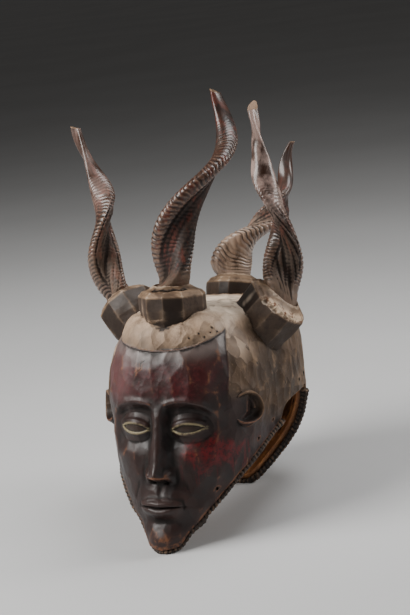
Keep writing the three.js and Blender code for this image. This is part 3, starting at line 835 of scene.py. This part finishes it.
def tube(columns, steps):
    # a flat grid to be wound up, its first and last rows drawn in to a point
    bm = gridMesh(columns, steps + 2)
    across, along, _ = coordinates(bm).T
    step = (along + 1) / 2 * (steps + 2) - 1
    out = np.where((step < -0.5) | (step > steps + 0.5), 0.0, 1.0)
    return bm, across * math.pi, np.clip(step / steps, 0, 1), out


def bodyShare(along):
    return np.clip((along - hornSkin["bodyFrom"]) / (1 - hornSkin["bodyFrom"]), 0, 1)


def hornFrame(horn, spec, along):
    axis = unit(np.array([*horn["lean"], 1.0]))
    across = unit(np.cross((0, 1, 0), axis))
    over = np.cross(axis, across)

    def arm(angle, radius):
        return (np.cos(angle) * radius)[..., None] * across + (np.sin(angle) * radius)[..., None] * over

    def centre(share):
        foot = np.array(spec["top"]) + (*horn["shift"], 0) - arm(np.array(horn["start"]), horn["coil"][0])
        wound = arm(horn["start"] + 2 * math.pi * horn["turns"] * share, mix(*horn["coil"], share))
        return foot + np.outer(horn["length"] * share, axis) + wound

    tangent = unit(centre(along + 0.005) - centre(along - 0.005))
    wide = arm(horn["start"] + horn["keel"] + 2 * math.pi * (horn["turns"] + horn["keelTurns"]) * along, 1.0)
    wide = unit(wide - tangent * (wide * tangent).sum(-1, keepdims=True))
    half = mix(*horn["half"], along) * (1 + horn["swell"] * bump(along - 0.16, 0.14)) * hornSkin["slim"]
    return centre(along), wide, np.cross(tangent, wide), half


def ridgeSeries(horn, rng):
    # where each growth ridge lies and how high it stands
    places, travelled, span = [0.0], 0.0, horn["length"] * hornSkin["ridgeSpan"]
    while travelled < span:
        travelled += mix(*hornSkin["ridge"], travelled / span) * rng.uniform(0.72, 1.3)
        places.append(travelled)
    return np.array(places) / 1.15 / horn["length"], rng.uniform(0.3, 1.15, len(places))


def hornFace(horn, along, angle):
    # 1 on the smooth face of the horn, 0 where the growth ridges run
    middle = np.radians(horn["face"][0] + horn["face"][1] * along)
    away = np.degrees(np.abs(np.angle(np.exp(1j * (angle - middle)))))
    across = 1 - smooth(away, horn["faceWidth"] - 8, horn["faceWidth"] + 10)
    return across * (1 - smooth(along, horn["faceEnd"] - 0.08, horn["faceEnd"] + 0.02))


def hornRelief(horn, along, share, angle, half, seed):
    places, heights = ridgeSeries(horn, np.random.default_rng(int(seed * 10)))
    inDish = hornFace(horn, share, angle)
    keel = np.abs(np.cos(angle)) ** 4 * (1 - 0.6 * inDish)
    wave = 2.4 * np.sin(angle * 2 + seed) * (1 - 0.4 * inDish) + 0.9 * np.sin(angle * 5 + along * 24 + seed)
    wave = wave + 0.8 * np.sin(angle * 9 - along * 40) * inDish
    phase = np.interp(along + wave / horn["length"], places, np.arange(len(places)))
    tall = np.interp(phase, np.arange(len(places)) + 0.5, heights)
    ridge = np.sin(math.pi * (phase % 1)) ** 1.4 - 0.75
    fade = within(along, 0.05, 0.08, horn["smoothFrom"] - 0.14, horn["smoothFrom"] + 0.05)
    thin = half / hornSkin["thin"]  # less relief where the horn is thin
    full = mix(hornSkin["fullHeight"], hornSkin["keelHeight"], keel)
    height = mix(full, hornSkin["dishHeight"], inDish * (1 - keel)) * tall * fade * np.clip(thin, 0.45, 1)
    lumps = 0.5 * np.sin(angle * 3 + along * 13 + seed) * smooth(along, 0.05, 0.3)
    flutes = 0.6 * np.sin(angle * 13 + along * 9) + 0.5 * np.sin(angle * 21 - along * 17)
    flutes = flutes * horn["flutes"] * inDish * np.clip(thin, 0.3, 1)
    groove = 5.2 * inDish * (1 - inDish) * within(along, 0.1, 0.2, 0.8, 0.95)
    return height * ridge + lumps + flutes - groove


def hornSurface(horn, spec, along, angle, out, seed):
    share = bodyShare(along)
    centre, wide, thick, half = hornFrame(horn, spec, mix(0.045, 1, share))
    cos, sin = np.cos(angle), np.sin(angle)
    full, dished = np.abs(sin) ** 1.2, np.abs(sin) ** 0.8 * (1 - 0.42 * bump(cos, 0.52))
    flat = hornSkin["flatness"] * np.sign(sin) * np.where(sin * horn["dished"] > 0, dished, full)
    facing = unit(wide * (cos * hornSkin["flatness"])[:, None] + thick * sin[:, None])
    relief = hornRelief(horn, along, share, angle, half, seed)
    spread = half[:, None] * (wide * cos[:, None] + thick * flat[:, None])
    body = centre + out[:, None] * (spread + facing * relief[:, None])
    # its foot is round, to sit in the socket
    up = unit(np.array(spec["axis"], float))
    level = unit(wide - np.outer(wide @ up, up))
    beside = np.cross(up, level)
    end, joined = hornSkin["footEnd"], hornSkin["joined"]
    rise = np.where(along < end, mix(-socket["depth"], 0, along / end), (along - end) * hornSkin["footRise"])
    girth = out * socket["radius"] * (0.995 + 0.02 * np.sin(angle * 7 + seed) * smooth(along, end, joined[0]))
    foot = np.array(spec["top"]) + np.outer(rise, up)
    foot = foot + (girth * cos)[:, None] * level + (girth * sin)[:, None] * beside
    return mix(foot, body, smooth(along, *joined)[:, None])


def makeHorn(name, seed):
    horn, spec = horns[name], bosses[name]
    bm, angle, along, out = tube(hornSkin["around"], hornSkin["along"])
    points = hornSurface(horn, spec, along, angle, out, seed)
    last, before = hornFrame(horn, spec, np.array([1.0, 0.97]))[0]
    atTip = smooth(along, 0.965, 1)
    slant = (points - last) @ np.array([*horn["cut"][:2], 0]) * atTip  # the end is cut off at a slant
    lowered = hornSkin["tipCut"] * atTip + horn["cut"][2] * slant
    place(bm, points - lowered[:, None] * unit(last - before))
    order = bm.verts.layers.float_vector.new("shares")
    for vert, values in zip(bm.verts, np.stack([along, angle, out], 1)):
        vert[order] = values
    closeUp(bm)
    along, angle, _ = np.array([vert[order][:] for vert in bm.verts]).T
    shade(bm, [hornSkin["sharp"]] * len(bm.edges))
    item = objectFrom(bm, "horn" + name.capitalize())
    mesh = item.data
    mesh.attributes.remove(mesh.attributes["shares"])
    fine = proudness(mesh, 5)
    setMasks(mesh, edge=np.clip(fine * 2.2, 0, 1), hollow=np.clip(-fine * 2.2, 0, 1), reach=along,
             dish=hornFace(horn, bodyShare(along), angle), tip=smooth(along, 0.99, 0.999),
             # the rubbed pale, on the right horn partly a painted highlight
             rubbed=horn["rubbed"] * smooth(along, horn["faceEnd"] - 0.08, horn["faceEnd"] + 0.1),
             dusty=horn["dusty"] * (1 - smooth(along, 0.15, 0.55)))
    setPoints(mesh, toStanding(perPoint(mesh, "co")))
    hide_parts("horn_" + name)
    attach(item, "root")
    print("horn", name, len(mesh.polygons))
    return item


# Bindings: a flat core along the rim, wound all the way with cord

binding = {
    "halfWidth": 5.4, "halfThickness": 3.2, "gap": -0.4, "inset": 1.2, "chinInset": 4.6, "chinSpan": 24,
    "cord": 6.2, "slant": 1, "depth": 1.2, "around": 40, "perMillimetre": 1.5, "sharp": 50,
    "jaw": (-94, 94), "nape": (134.4, 225.6), "knot": 20, "knotSize": 0.5, "knotSpan": 2.6,
    "edgeCord": 66, "edgeWidth": 0.24, "edgeTwist": 2.6,
}


def signedDegrees(degrees):
    return np.where(degrees > 180, degrees - 360, degrees)


def bindingSurface(degrees, angle, out, run, ends):
    turned = signedDegrees(degrees)
    edge, before, after = (bowlPoint(turned + step, rimHeight(turned + step)) for step in (0, -0.3, 0.3))
    normal = bowlNormal(turned, rimHeight(turned))
    away = unit(np.cross(unit(after - before), normal))
    away = np.where(away[:, 2:] > 0, -away, away)
    turn = run / binding["cord"] + binding["slant"] * angle / (2 * math.pi)
    strand = np.abs(np.sin(math.pi * turn)) ** 0.7
    loose = 0.3 * np.sin(run * 0.23) + 0.2 * np.sin(run * 0.61 + 1)
    aside = np.angle(np.exp(1j * (angle - math.radians(binding["edgeCord"]))))
    twist = 1.0 + 0.3 * np.sin(run * 2 * math.pi / binding["edgeTwist"] + aside * 4)
    relief = binding["depth"] * (strand - 1) + loose * 0.5 + bump(aside, binding["edgeWidth"]) * twist
    knot = binding["knotSize"] * bump(turned - binding["knot"], binding["knotSpan"])
    knot = 1 + 0.22 * (1 - smooth(ends, 5, 11)) + knot
    wide = (binding["halfWidth"] * knot + relief) * out
    thin = (binding["halfThickness"] * knot + relief) * out
    lift = binding["gap"] + binding["halfThickness"] * knot
    inset = binding["inset"] + binding["chinInset"] * bump(turned, binding["chinSpan"])
    return (edge + normal * (np.cos(angle) * wide - inset)[:, None]
            + away * (lift + np.sin(angle) * thin)[:, None])


def makeBinding(name):
    dense = np.linspace(*binding[name], 2000)
    route = bowlPoint(signedDegrees(dense), rimHeight(signedDegrees(dense)))
    run = np.concatenate([[0], np.cumsum(np.linalg.norm(np.diff(route, axis=0), axis=1))])
    bm, angle, share, out = tube(binding["around"], int(run[-1] * binding["perMillimetre"]))
    travelled = share * run[-1]
    ends = np.minimum(travelled, run[-1] - travelled)
    place(bm, bindingSurface(np.interp(travelled, run, dense), angle, out, travelled, ends))
    closeUp(bm)
    shade(bm, [binding["sharp"]] * len(bm.edges))
    item = objectFrom(bm, name + "Binding")
    mesh = item.data
    fine = proudness(mesh, 4)
    setMasks(mesh, edge=np.clip(fine * 3, 0, 1), hollow=np.clip(-fine * 3, 0, 1))
    points = toStanding(perPoint(mesh, "co"))
    points[:, 2] = np.maximum(points[:, 2], 0)  # worn flat where the mask stands on it
    setPoints(mesh, points)
    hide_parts(name + "_binding")
    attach(item, "root")
    print("binding", name, len(mesh.polygons), "length", round(run[-1]))
    return item


# Materials

class Flow:
    # a socket that can be added, multiplied and so on
    def __init__(self, paint, socket):
        self.paint = paint
        self.socket = socket

    def maths(self, operation, first, second):
        return self.paint.node("ShaderNodeMath", {"operation": operation}, first, second)

    def __add__(self, other):
        return self.maths("ADD", self, other)

    def __sub__(self, other):
        return self.maths("SUBTRACT", self, other)

    def __rsub__(self, other):
        return self.maths("SUBTRACT", other, self)

    def __mul__(self, other):
        return self.maths("MULTIPLY", self, other)

    def __pow__(self, other):
        return self.maths("POWER", self, other)

    __radd__ = __add__
    __rmul__ = __mul__

    def most(self, other):
        return self.maths("MAXIMUM", self, other)

    def between(self, low, high):
        # 0 below the first value and 1 above the second, or the other way round
        settings = {"interpolation_type": "SMOOTHSTEP"}
        return self.paint.node("ShaderNodeMapRange", settings, self, low, high, 0.0, 1.0)

    def within(self, low, full, fading, high):
        return self.between(low, full) * (1 - self.between(fading, high))


class Paint:
    def __init__(self, name, colours, constants):
        self.colours = colours
        self.material = bpy.data.materials.new(name)
        self.material.use_nodes = True
        self.nodes = self.material.node_tree.nodes
        self.links = self.material.node_tree.links
        self.shader = self.nodes["Principled BSDF"]
        for key, value in constants.items():
            self.plug(self.shader.inputs[key], value)
        self.place = self.node("ShaderNodeTexCoord", {}, output="Object")

    def plug(self, target, value):
        # a value is a link, a number, a vector or the name of a colour
        if isinstance(value, Flow):
            self.links.new(value.socket, target)
        elif isinstance(value, str):
            target.default_value = (*self.colours[value], 1)
        else:
            target.default_value = value

    def node(self, kind, settings, *values, output=None, **named):
        item = self.nodes.new(kind)
        for key, value in settings.items():
            setattr(item, key, value)
        for target, value in zip([s for s in item.inputs if s.enabled], values):
            self.plug(target, value)
        for key, value in named.items():
            self.plug(item.inputs[key], value)
        found = item.outputs[output] if output else next(s for s in item.outputs if s.enabled)
        return Flow(self, found)

    def attributes(self, *names):
        return [self.node("ShaderNodeAttribute", {"attribute_name": name}, output="Fac") for name in names]

    def noise(self, scale, detail=4.0, rough=0.55, stretch=None, warp=0.0):
        place = self.node("ShaderNodeMapping", {}, self.place, Scale=stretch) if stretch else self.place
        return self.node("ShaderNodeTexNoise", {}, output="Fac", Vector=place, Scale=scale, Detail=detail,
                         Roughness=rough, Distortion=warp)

    def cells(self, scale, stretch=None, output="Distance"):
        place = self.place
        if stretch:  # uneven borders
            drift = self.node("ShaderNodeTexNoise", {}, output="Color", Vector=place, Scale=45.0, Detail=3.0)
            shift = self.node("ShaderNodeVectorMath", {"operation": "SCALE"}, drift, Scale=0.012)
            place = self.node("ShaderNodeMapping", {}, place, Scale=stretch)
            place = self.node("ShaderNodeVectorMath", {"operation": "ADD"}, place, shift)
        return self.node("ShaderNodeTexVoronoi", {}, output=output, Vector=place, Scale=scale)

    def axes(self):
        split = self.node("ShaderNodeSeparateXYZ", {}, self.place)
        return [Flow(self, socket) for socket in split.socket.node.outputs]

    def blend(self, share, first, second):
        item = self.nodes.new("ShaderNodeMix")
        item.data_type = "RGBA"
        item.clamp_factor = True
        a, b = [s for s in item.inputs if s.type == "RGBA"]
        for target, value in ((item.inputs["Factor"], share), (a, first), (b, second)):
            self.plug(target, value)
        return Flow(self, next(s for s in item.outputs if s.type == "RGBA"))

    def layers(self, colour, *coats):
        # each coat is the share that it covers and its colour
        for share, coat in coats:
            colour = self.blend(share, colour, coat)
        return colour

    def finish(self, bumps, outputs):
        # a bump is its height, its strength and its distance
        normal = {}
        for height, strength, distance in bumps:
            normal["Normal"] = self.node("ShaderNodeBump", {}, output="Normal", Height=height,
                                         Strength=strength, Distance=distance, **normal)
        for key, value in {**outputs, **normal}.items():
            self.plug(self.shader.inputs[key], value)
        return self.material


woodColours = {
    "skin": (0.02, 0.0095, 0.0082), "skinDark": (0.007, 0.004, 0.004), "skinPale": (0.064, 0.035, 0.029),
    # the pink is a painted highlight on the far temple
    "pink": (0.18, 0.085, 0.085), "red": (0.115, 0.0022, 0.004), "redDeep": (0.036, 0.003, 0.004),
    "cap": (0.1, 0.06, 0.036), "capPale": (0.26, 0.17, 0.105), "capDark": (0.034, 0.021, 0.013),
    "drum": (0.04, 0.024, 0.015), "drumPale": (0.075, 0.047, 0.031), "drumDark": (0.016, 0.009, 0.006),
    # the cap's top colour is painted light from above; the pale top colour is pale dust and painted
    # highlight; the brow colour is a painted highlight
    "capTopLit": (0.25, 0.163, 0.103), "topDustAndHighlight": (0.55, 0.4, 0.285), "brow": (0.22, 0.175, 0.16),
    # the crown colour, used on the crown, is pale dust and painted highlight
    "crown": (0.82, 0.68, 0.54), "torn": (0.75, 0.57, 0.4), "tornDark": (0.16, 0.05, 0.015),
    "kaolin": (0.3, 0.25, 0.14), "ball": (0.03, 0.018, 0.012), "worn": (0.22, 0.088, 0.04),
    # the darkest colour is dirt in the hollows and painted shade in the holes and cracks
    "rawWoodLit": (0.72, 0.3, 0.085), "rawDark": (0.28, 0.1, 0.032), "dirtAndShade": (0.008, 0.006, 0.005),
}
facets = {"scale": 62, "stretch": (1, 1, 0.62)}
cheekPaint = {"x": 0.06, "z": 0.117, "acrossScale": 25, "upScale": 34}


def woodPaint():
    paint = Paint("patinatedWood", woodColours, {"Specular IOR Level": 0.26, "Coat Roughness": 0.38})
    edge, hollow, proud, sooty = paint.attributes("edge", "hollow", "proud", "soot")
    hairy, inside, rims, ball = paint.attributes("hair", "inside", "eyeRims", "eyeBall")
    boss, bossTop, facet, torn = paint.attributes("boss", "bossTop", "facet", "torn")
    broad = paint.noise(14, 3, 0.5)
    blotch = paint.noise(38, 6, 0.62, warp=0.6)
    fine = paint.noise(230, 5, 0.65)
    grain = paint.noise(70, 6, 0.7, stretch=(1, 1, 0.1), warp=0.5)
    runs = paint.noise(150, 3, 0.5, stretch=(1, 1, 0.12))
    pores = paint.cells(750)
    chips = paint.cells(**facets)
    tone = paint.node("ShaderNodeSeparateColor", {}, paint.cells(**facets, output="Color"))
    x, y, z = paint.axes()
    # the face: a rubbed red band, a pink far temple that is a painted highlight, a painted highlight on the
    # upper brow and paint on the near cheek that has run
    band = z.within(0.176, 0.194, 0.214, 0.234) * (blotch * 0.5 + broad * 0.6).between(0.42, 0.58)
    # the far side of the forehead, where a pink highlight is painted
    pink = (1 - x.between(-0.06, -0.028)) * z.within(0.168, 0.19, 0.232, 0.25)
    # the upper brow under the cap: a painted highlight, with more gloss as well
    sheen = z.between(0.224, 0.242)
    across = (x - cheekPaint["x"]) * cheekPaint["acrossScale"]
    up = (z - cheekPaint["z"]) * cheekPaint["upScale"]
    patch = 1 - (across * across + up * up) ** 0.5 + (blotch - 0.5) * 2.2
    drip = runs.between(0.52, 0.62) * z.within(0.068, 0.1, 0.112, 0.12)
    drip = drip * (1 - (across * across).between(0.3, 1.1))
    cheek = patch.between(0.15, 0.6).most(drip * 0.75) * x.between(0.02, 0.035)
    chalk = rims * (blotch + fine * 0.4).between(0.5, 0.78)
    skin = paint.layers(
        "skin",
        (blotch.between(0.4, 0.62), "skinDark"),
        (broad.between(0.48, 0.66) * 0.45 + tone * 0.2, "skinPale"),
        (band * 0.85, "redDeep"),
        (band * (fine * 0.6 + blotch * 0.4).between(0.46, 0.62) * 0.36, "red"),
        # painted pink highlight on the far temple
        (pink * broad.between(0.3, 0.58) * 0.55, "pink"),
        # painted highlight on the upper brow
        (sheen * (broad * 0.5 + blotch * 0.5).between(0.36, 0.54) * 0.5, "brow"),
        (cheek * 0.95, paint.blend(fine.between(0.36, 0.56), "redDeep", "red")),
        ((fine * 0.6 + grain * 0.4).between(0.56, 0.7) * 0.5, "skinPale"),
        (ball * 0.85, "ball"),
        (chalk * 0.85, "kaolin"))
    # the bosses and the cap of hair; the cap is painted darker low down and lighter on top, as shade and as
    # light from above, with pale dust on top as well
    drum = paint.layers(
        "drum",
        (facet.between(0.35, 0.95) * 0.75, "drumPale"),
        ((1 - facet.between(0.05, 0.4)) * 0.8, "drumDark"),
        ((grain * 0.5 + fine * 0.5).between(0.45, 0.62) * 0.5, "drumDark"),
        (bossTop * (0.5 + blotch * 0.7), paint.blend(blotch.between(0.4, 0.58), "cap", "capPale")))
    # the top of the cap, painted lighter as light from above
    upper = z.between(0.228, 0.258)
    # the flat planes behind the temples, where a highlight is painted, with more gloss as well
    temple = (x * x).between(0.0022, 0.0042) * z.between(0.205, 0.232) * (1 - y.between(0.115, 0.15))
    # the crown between the bosses: pale dust, and a painted highlight
    crownDustAndHighlight = y.between(0.1, 0.14) * z.between(0.252, 0.268) * (broad * 0.4 + blotch * 0.6).between(0.3, 0.46)
    # the cap low down, painted darker as shade
    low = 1 - z.between(0.17, 0.262)
    cap = paint.layers(
        "cap",
        # painted light on the top of the cap
        (upper, "capTopLit"),
        ((blotch * 0.35 + broad * 0.65).between(0.4, 0.66) * 0.65, "capDark"),
        (tone.between(0.3, 0.9) * 0.22, "capPale"),
        # pale dust high on the cap, made paler still as a painted highlight
        (z.between(0.235, 0.275) * (broad * 0.5 + fine * 0.5).between(0.36, 0.54) * 0.8, "topDustAndHighlight"),
        # painted shade on the cap low down
        (low * (blotch * 0.3 + broad * 0.7).between(0.25, 0.55) * 0.7, "capDark"),
        (fine.between(0.58, 0.7) * 0.5, "capPale"),
        # painted highlight on the temple planes
        (temple * tone.between(0.1, 0.8) * 0.7, "topDustAndHighlight"),
        # pale dust and painted highlight on the crown
        (crownDustAndHighlight * 0.92, "crown"),
        ((blotch * 0.55 + grain * 0.45).between(0.48, 0.62) * upper * (0.5 - crownDustAndHighlight * 0.3), "cap"),
        (boss, drum),
        (torn * 0.9, paint.blend((fine * 0.5 + blotch * 0.5).between(0.44, 0.54), "tornDark", "torn")))
    # raw orange wood inside, its colour made brighter as painted light
    rawWoodLit = paint.layers("rawWoodLit", ((grain * 0.7 + broad * 0.3).between(0.38, 0.6), "rawDark"),
                       (blotch.between(0.52, 0.72) * 0.6, "rawDark"))
    # wear on what stands proud, dirt in what lies deep
    worn = edge.between(0.3, 0.85) * proud.between(0.52, 0.7) * (fine * 0.6 + blotch * 0.5).between(0.44, 0.6)
    rubbed = paint.layers("worn", (hairy, "capPale"), (boss * 0.4, "crown"))
    deep = (1 - proud.between(0.3, 0.46)) * (1 - hairy * 0.96)
    dirty = (hollow.between(0.1, 0.7) * (1 - hairy * 0.65)).most(deep)
    colour = paint.layers(
        skin,
        (hairy, cap),
        (inside, rawWoodLit),
        (proud.between(0.56, 0.8) * 0.22, paint.blend(hairy, "skinPale", "capPale")),
        (worn * (0.65 - boss * (1 - bossTop) * 0.5), rubbed),
        (dirty * 0.8, "dirtAndShade"),
        (pores.between(0.14, 0.02) * 0.4, "dirtAndShade"),
        # painted shade inside the holes and cracks
        (sooty * 0.94, "dirtAndShade"))
    shine = (1 - hairy) * (1 - inside)
    rough = 0.66 - shine * 0.17 - boss * 0.02 + (fine - 0.5) * 0.35 + dirty * 0.2 + worn * 0.1 - tone * 0.06
    coat = shine * (blotch.between(0.36, 0.6) * 0.2 + 0.04) * (1 - dirty) * (1 - chalk * 0.8)
    coat = coat + shine * sheen * 0.3
    coat = coat + hairy * (broad.between(0.42, 0.6) * 0.12 + temple * 0.25 + crownDustAndHighlight * 0.2)
    chipped = hairy * (1 - boss) * 0.3 + (1 - boss) * 0.1
    bumps = [(chips * chips, chipped, 0.02), (blotch, 0.3, 0.0012), (grain, 0.18, 0.0008),
             (fine, 0.35, 0.0004), (pores, 0.12, 0.0003)]
    return paint.finish(bumps, {"Base Color": colour, "Roughness": rough, "Coat Weight": coat})


hornColours = {
    # the ridge colour is worn crests and painted highlight
    "body": (0.046, 0.021, 0.013), "dark": (0.009, 0.0052, 0.004), "ridge": (0.23, 0.14, 0.098),
    "red": (0.1, 0.017, 0.008), "foot": (0.15, 0.1, 0.068), "pink": (0.24, 0.11, 0.09),
    # the rubbed colour is partly a painted highlight on the right horn
    "cut": (0.3, 0.19, 0.11), "dust": (0.5, 0.365, 0.27), "rubbed": (0.5, 0.36, 0.31),
}


def hornPaint():
    paint = Paint("carvedHorn", hornColours, {"Specular IOR Level": 0.3, "Coat Roughness": 0.2})
    edge, hollow, reach, dish = paint.attributes("edge", "hollow", "reach", "dish")
    tip, rubbed, dusty = paint.attributes("tip", "rubbed", "dusty")
    blotch = paint.noise(42, 6, 0.62, warp=0.5)
    fine = paint.noise(270, 5, 0.65)
    streak = paint.noise(80, 5, 0.65, stretch=(1, 1, 0.3), warp=0.5)
    # pale on the crests of the ridges: wear, and a painted highlight
    crestWearAndHighlight = edge.between(0.12, 0.7) * (fine * 0.6 + blotch * 0.5).between(0.42, 0.62)
    blush = (blotch * 0.5 + streak * 0.5).between(0.5, 0.6) * reach.between(0.4, 0.65)
    foot = (1 - reach.between(0.05, 0.14)) * (fine * 0.4 + blotch * 0.6).between(0.3, 0.58)
    deep = hollow.between(0.08, 0.6)
    colour = paint.layers(
        "body",
        (blotch.between(0.4, 0.62), "dark"),
        (dish * 0.5, "dark"),
        (streak.between(0.5, 0.64) * 0.7, "red"),
        # worn crests, painted lighter as highlight
        (crestWearAndHighlight * (0.7 - dish * 0.58), "ridge"),
        (blush * 0.18, "pink"),
        # pale rubbed faces high on the horns; on the right horn partly a painted highlight
        (rubbed * (blotch * 0.6 + streak * 0.5).between(0.42, 0.62) * 0.75, "rubbed"),
        (dusty * (blotch * 0.5 + streak * 0.5).between(0.36, 0.56) * 0.7, "dust"),
        (foot * 0.8, "foot"),
        (deep * 0.8, "dark"),
        (tip * 0.7, "cut"))
    rough = 0.38 + foot * 0.3 + (fine - 0.5) * 0.35 + deep * 0.25 + dish * 0.26
    coat = (1 - foot) * (1 - deep) * (0.42 - dish * 0.4)
    bumps = [(blotch, 0.2, 0.001), (streak, 0.3, 0.0007), (fine, 0.35, 0.0003)]
    return paint.finish(bumps, {"Base Color": colour, "Roughness": rough, "Coat Weight": coat})


cordColours = {"cord": (0.035, 0.024, 0.019), "dark": (0.008, 0.006, 0.005), "rubbed": (0.24, 0.15, 0.095)}


def cordPaint():
    paint = Paint("woundFibre", cordColours, {"Specular IOR Level": 0.35, "Coat Roughness": 0.3})
    edge, hollow = paint.attributes("edge", "hollow")
    blotch = paint.noise(60, 4, 0.6)
    fibre = paint.noise(420, 4, 0.65, stretch=(1, 1, 0.4))
    colour = paint.layers(
        "cord",
        (blotch.between(0.4, 0.65), "dark"),
        (edge.between(0.15, 0.7) * (fibre * 0.5 + blotch * 0.5).between(0.44, 0.6) * 0.8, "rubbed"),
        (hollow.between(0.1, 0.6) * 0.9, "dark"))
    bumps = [(blotch, 0.2, 0.001), (fibre, 0.5, 0.0004)]
    return paint.finish(bumps, {"Base Color": colour, "Roughness": 0.7 + (fibre - 0.5) * 0.3})


# Floor, light and camera

studio = {
    "colours": {"floor": (0.6, 0.605, 0.61), "cloud": (0.558, 0.56265, 0.5673)}, "size": 120,
    "air": (0.55, 0.53, 0.51), "airStrength": 0.1, "aim": (0, 0.13, 0.27),
    "lights": [
        {"name": "key", "place": (-1.22, -0.78, 1.45), "size": 1.3, "power": 64, "colour": (1, 0.98, 0.95)},
        {"name": "fill", "place": (1.7, -0.9, 0.8), "size": 1.0, "power": 3.5, "colour": (0.96, 0.98, 1)},
        {"name": "top", "place": (0.3, 0.7, 1.6), "size": 0.8, "power": 12, "colour": (1, 1, 1)},
        {"name": "edge", "place": (1.3, 0.9, 0.9), "size": 0.7, "power": 14, "colour": (1, 0.97, 0.94)},
    ],
}
view = {"azimuth": 26, "elevation": 13.5, "roll": 7.6, "distance": 1800, "focal": 1440, "frameHeight": 615,
        "target": (0, 130, 290), "offset": (32, -8.2), "sensor": 36, "farthest": 50}


def makeStudio():
    bpy.ops.mesh.primitive_plane_add(size=studio["size"], location=(0, 0, 0))
    floor = bpy.context.object
    floor.name = "floor"
    paint = Paint("paleFloor", studio["colours"], {"Specular IOR Level": 0.3, "Roughness": 0.6})
    cloud = paint.noise(1.2, 3, 0.5).between(0.3, 0.7)
    floor.data.materials.append(paint.finish([], {"Base Color": paint.blend(cloud, "floor", "cloud")}))
    for spec in studio["lights"]:
        lamp = bpy.data.lights.new(spec["name"], "AREA")
        lamp.shape = "DISK"
        lamp.size = spec["size"]
        lamp.energy = spec["power"]
        lamp.color = spec["colour"]
        item = bpy.data.objects.new(spec["name"], lamp)
        item.location = spec["place"]
        aim = Vector(studio["aim"]) - item.location
        item.rotation_euler = aim.to_track_quat("-Z", "Y").to_euler()
        bpy.context.scene.collection.objects.link(item)
    world = bpy.data.worlds.new("air")
    world.use_nodes = True
    back = world.node_tree.nodes["Background"]
    back.inputs["Color"].default_value = (*studio["air"], 1)
    back.inputs["Strength"].default_value = studio["airStrength"]
    bpy.context.scene.world = world


def makeCamera():
    a, e, roll = (math.radians(view[key]) for key in ("azimuth", "elevation", "roll"))
    right = Vector((math.cos(a), math.sin(a), 0))
    up = Vector((-math.sin(a) * math.sin(e), math.cos(a) * math.sin(e), math.cos(e)))
    ahead = Vector((-math.sin(a) * math.cos(e), math.cos(a) * math.cos(e), -math.sin(e)))
    seat = Vector(view["target"]) - ahead * view["distance"]
    seat -= Vector((0, standing["chinRest"], standing["floor"]))
    turnedRight = right * math.cos(roll) - up * math.sin(roll)
    turnedUp = right * math.sin(roll) + up * math.cos(roll)
    offAxis = [shift / view["focal"] for shift in view["offset"]]
    aim = (ahead + turnedRight * offAxis[0] + turnedUp * offAxis[1]).normalized()
    sideways = aim.cross(turnedUp).normalized()
    turn = Matrix((sideways, sideways.cross(aim).normalized(), -aim)).transposed().to_4x4()
    lens = bpy.data.cameras.new("camera")
    lens.sensor_fit = "VERTICAL"
    lens.sensor_height = view["sensor"]
    lens.lens = view["sensor"] * view["focal"] / view["frameHeight"]
    lens.clip_end = view["farthest"]
    item = bpy.data.objects.new("camera", lens)
    item.matrix_world = Matrix.Translation(seat * millimetre) @ turn
    bpy.context.scene.collection.objects.link(item)
    bpy.context.scene.camera = item


makeStudio()
makeCamera()
print("studio ready")

head = makeHead()
dressHead(head)
head.data.materials.clear()
head.data.materials.append(woodPaint())
print("head dressed", len(head.data.polygons))

hornMaterial = hornPaint()
for number, name in enumerate(horns):
    makeHorn(name, 1.3 * number + 0.4).data.materials.append(hornMaterial)

cordMaterial = cordPaint()
for name in ("jaw", "nape"):
    makeBinding(name).data.materials.append(cordMaterial)
